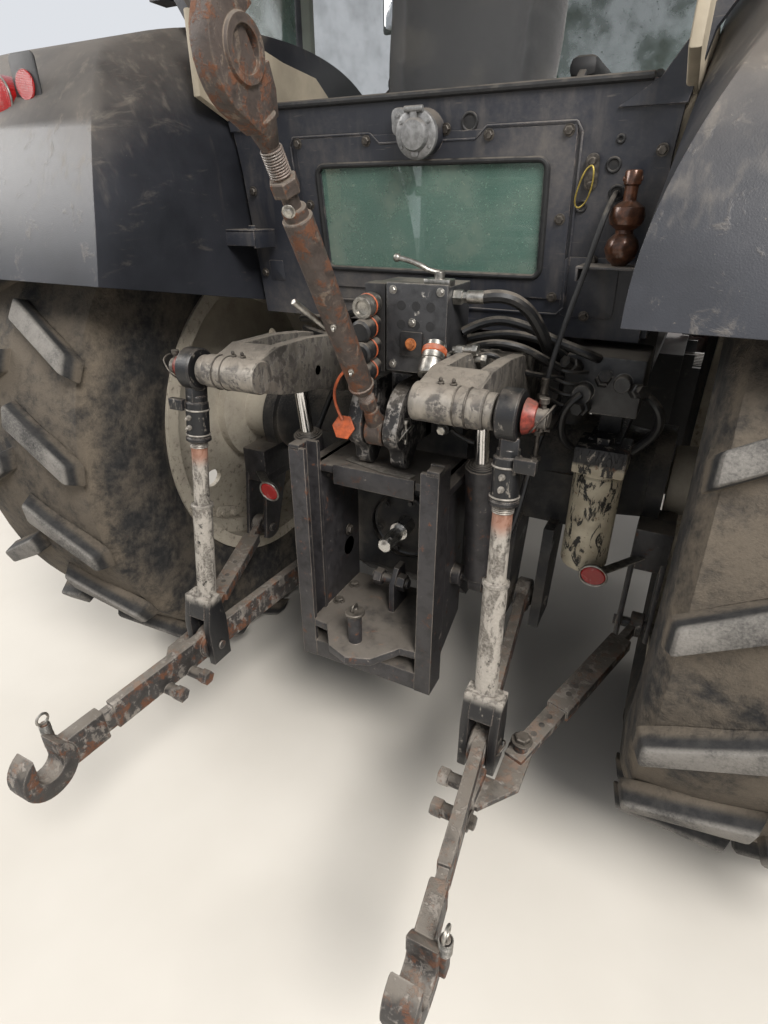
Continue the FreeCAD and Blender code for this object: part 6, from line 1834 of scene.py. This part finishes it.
class TRACTOR_OT_lights(bpy.types.Operator):
    """Lenses of the lamps, and the round red reflectors with their plates and stays"""

    bl_idname = "tractor.lights"
    bl_label = "Lights"

    def dome(self, shape, place, way, radius, depth):
        outline = [(0, depth)]
        for i in range(1, 7):
            turn = math.radians(90 - 15 * i)
            outline.append((radius * math.cos(turn), depth * math.sin(turn)))
        shape.lathe(outline + [(radius, -0.004), (0, -0.004)], place, way, 36)

    def execute(self, context):
        tail, plates, rims, discs = Shape(), Shape(), Shape(), Shape()
        for s in (-1, 1):
            self.dome(tail, at(s * 0.935, -0.6045, 1.740), (0, -1, 0), 0.048, 0.016)
            plates.plate(rounded(0.086, 0.150, 0.014), 0.004,
                         Matrix.Translation(at(s * 0.838, -0.590, 1.748)) @ Matrix.Rotation(math.radians(90), 4, "X"),
                         0.001)
            plates.box(at(s * 0.838 - 0.020, -0.592, 1.660), at(s * 0.838 + 0.020, -0.470, 1.666), 0.001)
            discs.rod(at(s * 0.838, -0.594, 1.762), at(s * 0.838, -0.600, 1.762), 0.030, edge=0.002)
            rims.ring(at(s * 0.935, -0.606, 1.740), (0, -1, 0), 0.0505, 0.0028)
        tail.put("tail_lenses", "red_lens", "root", "lamp_lens")
        plates.put("reflector_plates", "black_plastic", "root", "black_plastic")
        for x, y, z in ((-0.450, -0.362, 0.740), (0.515, -0.312, 0.690)):
            discs.rod(at(x, y, z), at(x, y - 0.007, z - 0.002), 0.031, edge=0.003)
            rims.ring(at(x, y - 0.005, z), (0, -1, -0.2), 0.033, 0.0028)
            rims.rod(at(x, y + 0.001, z), at(x, y + 0.004, z), 0.030)
            rims.bar(at(x, y + 0.004, z), at(math.copysign(0.615, x), -0.203, 0.712), 0.026, 0.004, 0.001)
        discs.put("red_reflectors", "red_lens", "root", "lamp_lens")
        rims.put("lamp_rims", "plated_steel", "root", "bright_steel")

        lenses = Shape()
        for s in (-1, 1):
            self.dome(lenses, at(s * 0.240, 3.4400, 1.330), (0, 1, 0), 0.049, 0.012)
            lenses.box(at(s * 0.240 - 0.040, 3.444, 1.173), at(s * 0.240 + 0.040, 3.451, 1.229), 0.003)
        lenses.put("headlamp_lenses", "clear_lens", "bonnet", "lamp_lens")
        return {"FINISHED"}


class TRACTOR_OT_front(bpy.types.Operator):
    """Grille mesh, the steps' treads, and the fuel filler's cap"""

    bl_idname = "tractor.front"
    bl_label = "Front and steps"

    def execute(self, context):
        mesh = Shape()
        for i in range(42):
            x = -0.168 + 0.008 * i
            mesh.box(at(x, 3.4315, 1.074), at(x + 0.0022, 3.4335, 1.416))
        for i in range(40):
            z = 1.076 + 0.0085 * i
            mesh.box(at(-0.170, 3.4305, z), at(0.170, 3.4325, z + 0.0022))
        mesh.put("grille_mesh", "black_plastic", "bonnet", "black_plastic")

        treads = Shape()
        for s in (-1, 1):
            for wide, z in ((0.790, 0.460), (0.780, 0.720), (0.770, 0.950)):
                for i in range(9):
                    y = 1.012 + 0.030 * i
                    treads.box(at(s * (wide - 0.095) - 0.075, y, z - 0.001),
                               at(s * (wide - 0.095) + 0.075, y + 0.009, z + 0.0045), 0.001)
        treads.put("step_treads", "dull_steel", "root", "bright_steel")

        caps = Shape()
        caps.lathe([(0, 0.040), (0.034, 0.040), (0.042, 0.034), (0.042, 0.006), (0.030, 0), (0, 0)],
                   at(-0.440, 1.600, FILLER_Z), (0, 0, 1), 24)
        caps.box(at(-0.448, 1.566, FILLER_Z + 0.038), at(-0.432, 1.634, FILLER_Z + 0.050), 0.004)
        caps.put("fuel_cap", "black_plastic", "root", "black_plastic")
        return {"FINISHED"}


class TRACTOR_OT_stage(bpy.types.Operator):
    """Set up the floor, the soft lights, the world and the photograph's camera"""

    bl_idname = "tractor.stage"
    bl_label = "Stage"

    def execute(self, context):
        scene = context.scene
        scene.view_settings.view_transform = "Standard"
        bm = bmesh.new()
        bmesh.ops.create_grid(bm, x_segments=1, y_segments=1, size=30.0)
        mesh = bpy.data.meshes.new("floor")
        bm.to_mesh(mesh)
        bm.free()
        floor = bpy.data.objects.new("floor", mesh)
        scene.collection.objects.link(floor)
        f = Finish("floor", {"Roughness": 0.9, "Specular IOR Level": 0.2})
        tone = f.mix(f.rise(f.clouds(0.6), 0.3, 0.7), (0.56, 0.53, 0.48), (0.60, 0.57, 0.52))
        mesh.materials.append(f.put(colour=tone))

        world = bpy.data.worlds.new("studio")
        world.use_nodes = True
        tree = world.node_tree
        sky = tree.nodes["Background"]
        sky.inputs["Color"].default_value = (0.92, 0.95, 1.0, 1.0)
        path = tree.nodes.new("ShaderNodeLightPath")
        seen = tree.nodes.new("ShaderNodeMath")
        seen.operation = "MAXIMUM"
        tree.links.new(path.outputs["Is Camera Ray"], seen.inputs[0])
        tree.links.new(path.outputs["Is Glossy Ray"], seen.inputs[1])
        level = tree.nodes.new("ShaderNodeMapRange")
        level.inputs["To Min"].default_value = 0.45
        level.inputs["To Max"].default_value = 0.80
        tree.links.new(seen.outputs[0], level.inputs["Value"])
        tree.links.new(level.outputs[0], sky.inputs["Strength"])
        scene.world = world

        for name, at, aim, size, power in (
            ("key", (3.2, -4.6, 5.2), (0.0, -1.4, 0.6), 2.6, 520.0),
            ("side", (-5.0, -3.0, 4.0), (0.0, -0.8, 0.8), 3.5, 260.0),
            ("front", (2.0, 6.5, 4.5), (0.0, 1.2, 1.0), 3.5, 260.0),
        ):
            lamp = bpy.data.lights.new(name, "AREA")
            lamp.shape = "DISK"
            lamp.size = size
            lamp.energy = power
            lamp.color = (1.0, 0.97, 0.93)
            made = bpy.data.objects.new(name, lamp)
            made.location = at
            way = Vector(aim) - Vector(at)
            made.rotation_euler = way.to_track_quat("-Z", "Y").to_euler()
            scene.collection.objects.link(made)

        camera = bpy.data.objects.new("camera", bpy.data.cameras.new("camera"))
        camera.location = CAMERA_AT
        camera.rotation_euler = (math.radians(90 - CAMERA_DOWN), 0.0, math.radians(CAMERA_LEFT))
        camera.data.sensor_width = FILM
        camera.data.lens = FILM * FOCAL_PX / PHOTO_LONG_SIDE
        camera.data.clip_start = 0.02
        scene.collection.objects.link(camera)
        scene.camera = camera
        return {"FINISHED"}


OPERATORS = (
    TRACTOR_OT_stage,
    TRACTOR_OT_finishes,
    TRACTOR_OT_tyres,
    TRACTOR_OT_links,
    TRACTOR_OT_lift,
    TRACTOR_OT_hitch,
    TRACTOR_OT_valves,
    TRACTOR_OT_lamps,
    TRACTOR_OT_rear_panel,
    TRACTOR_OT_hydraulics,
    TRACTOR_OT_linkage,
    TRACTOR_OT_wheels,
    TRACTOR_OT_seat,
    TRACTOR_OT_cab,
    TRACTOR_OT_lights,
    TRACTOR_OT_front,
)


class TRACTOR_PT_panel(bpy.types.Panel):
    bl_label = "Tractor"
    bl_space_type = "VIEW_3D"
    bl_region_type = "UI"
    bl_category = "Tractor"

    def draw(self, context):
        for prop in TractorColours.__annotations__:
            self.layout.prop(context.scene.tractor_colours, prop)
        for operator in OPERATORS:
            self.layout.operator(operator.bl_idname)


CLASSES = (TractorColours, *OPERATORS, TRACTOR_PT_panel)


def register():
    for cls in CLASSES:
        bpy.utils.register_class(cls)
    bpy.types.Scene.tractor_colours = PointerProperty(type=TractorColours)


def unregister():
    del bpy.types.Scene.tractor_colours
    for cls in reversed(CLASSES):
        bpy.utils.unregister_class(cls)


def main():
    register()
    for operator in OPERATORS:
        group, action = operator.bl_idname.split(".")
        getattr(getattr(bpy.ops, group), action)()


if __name__ == "__main__":
    main()
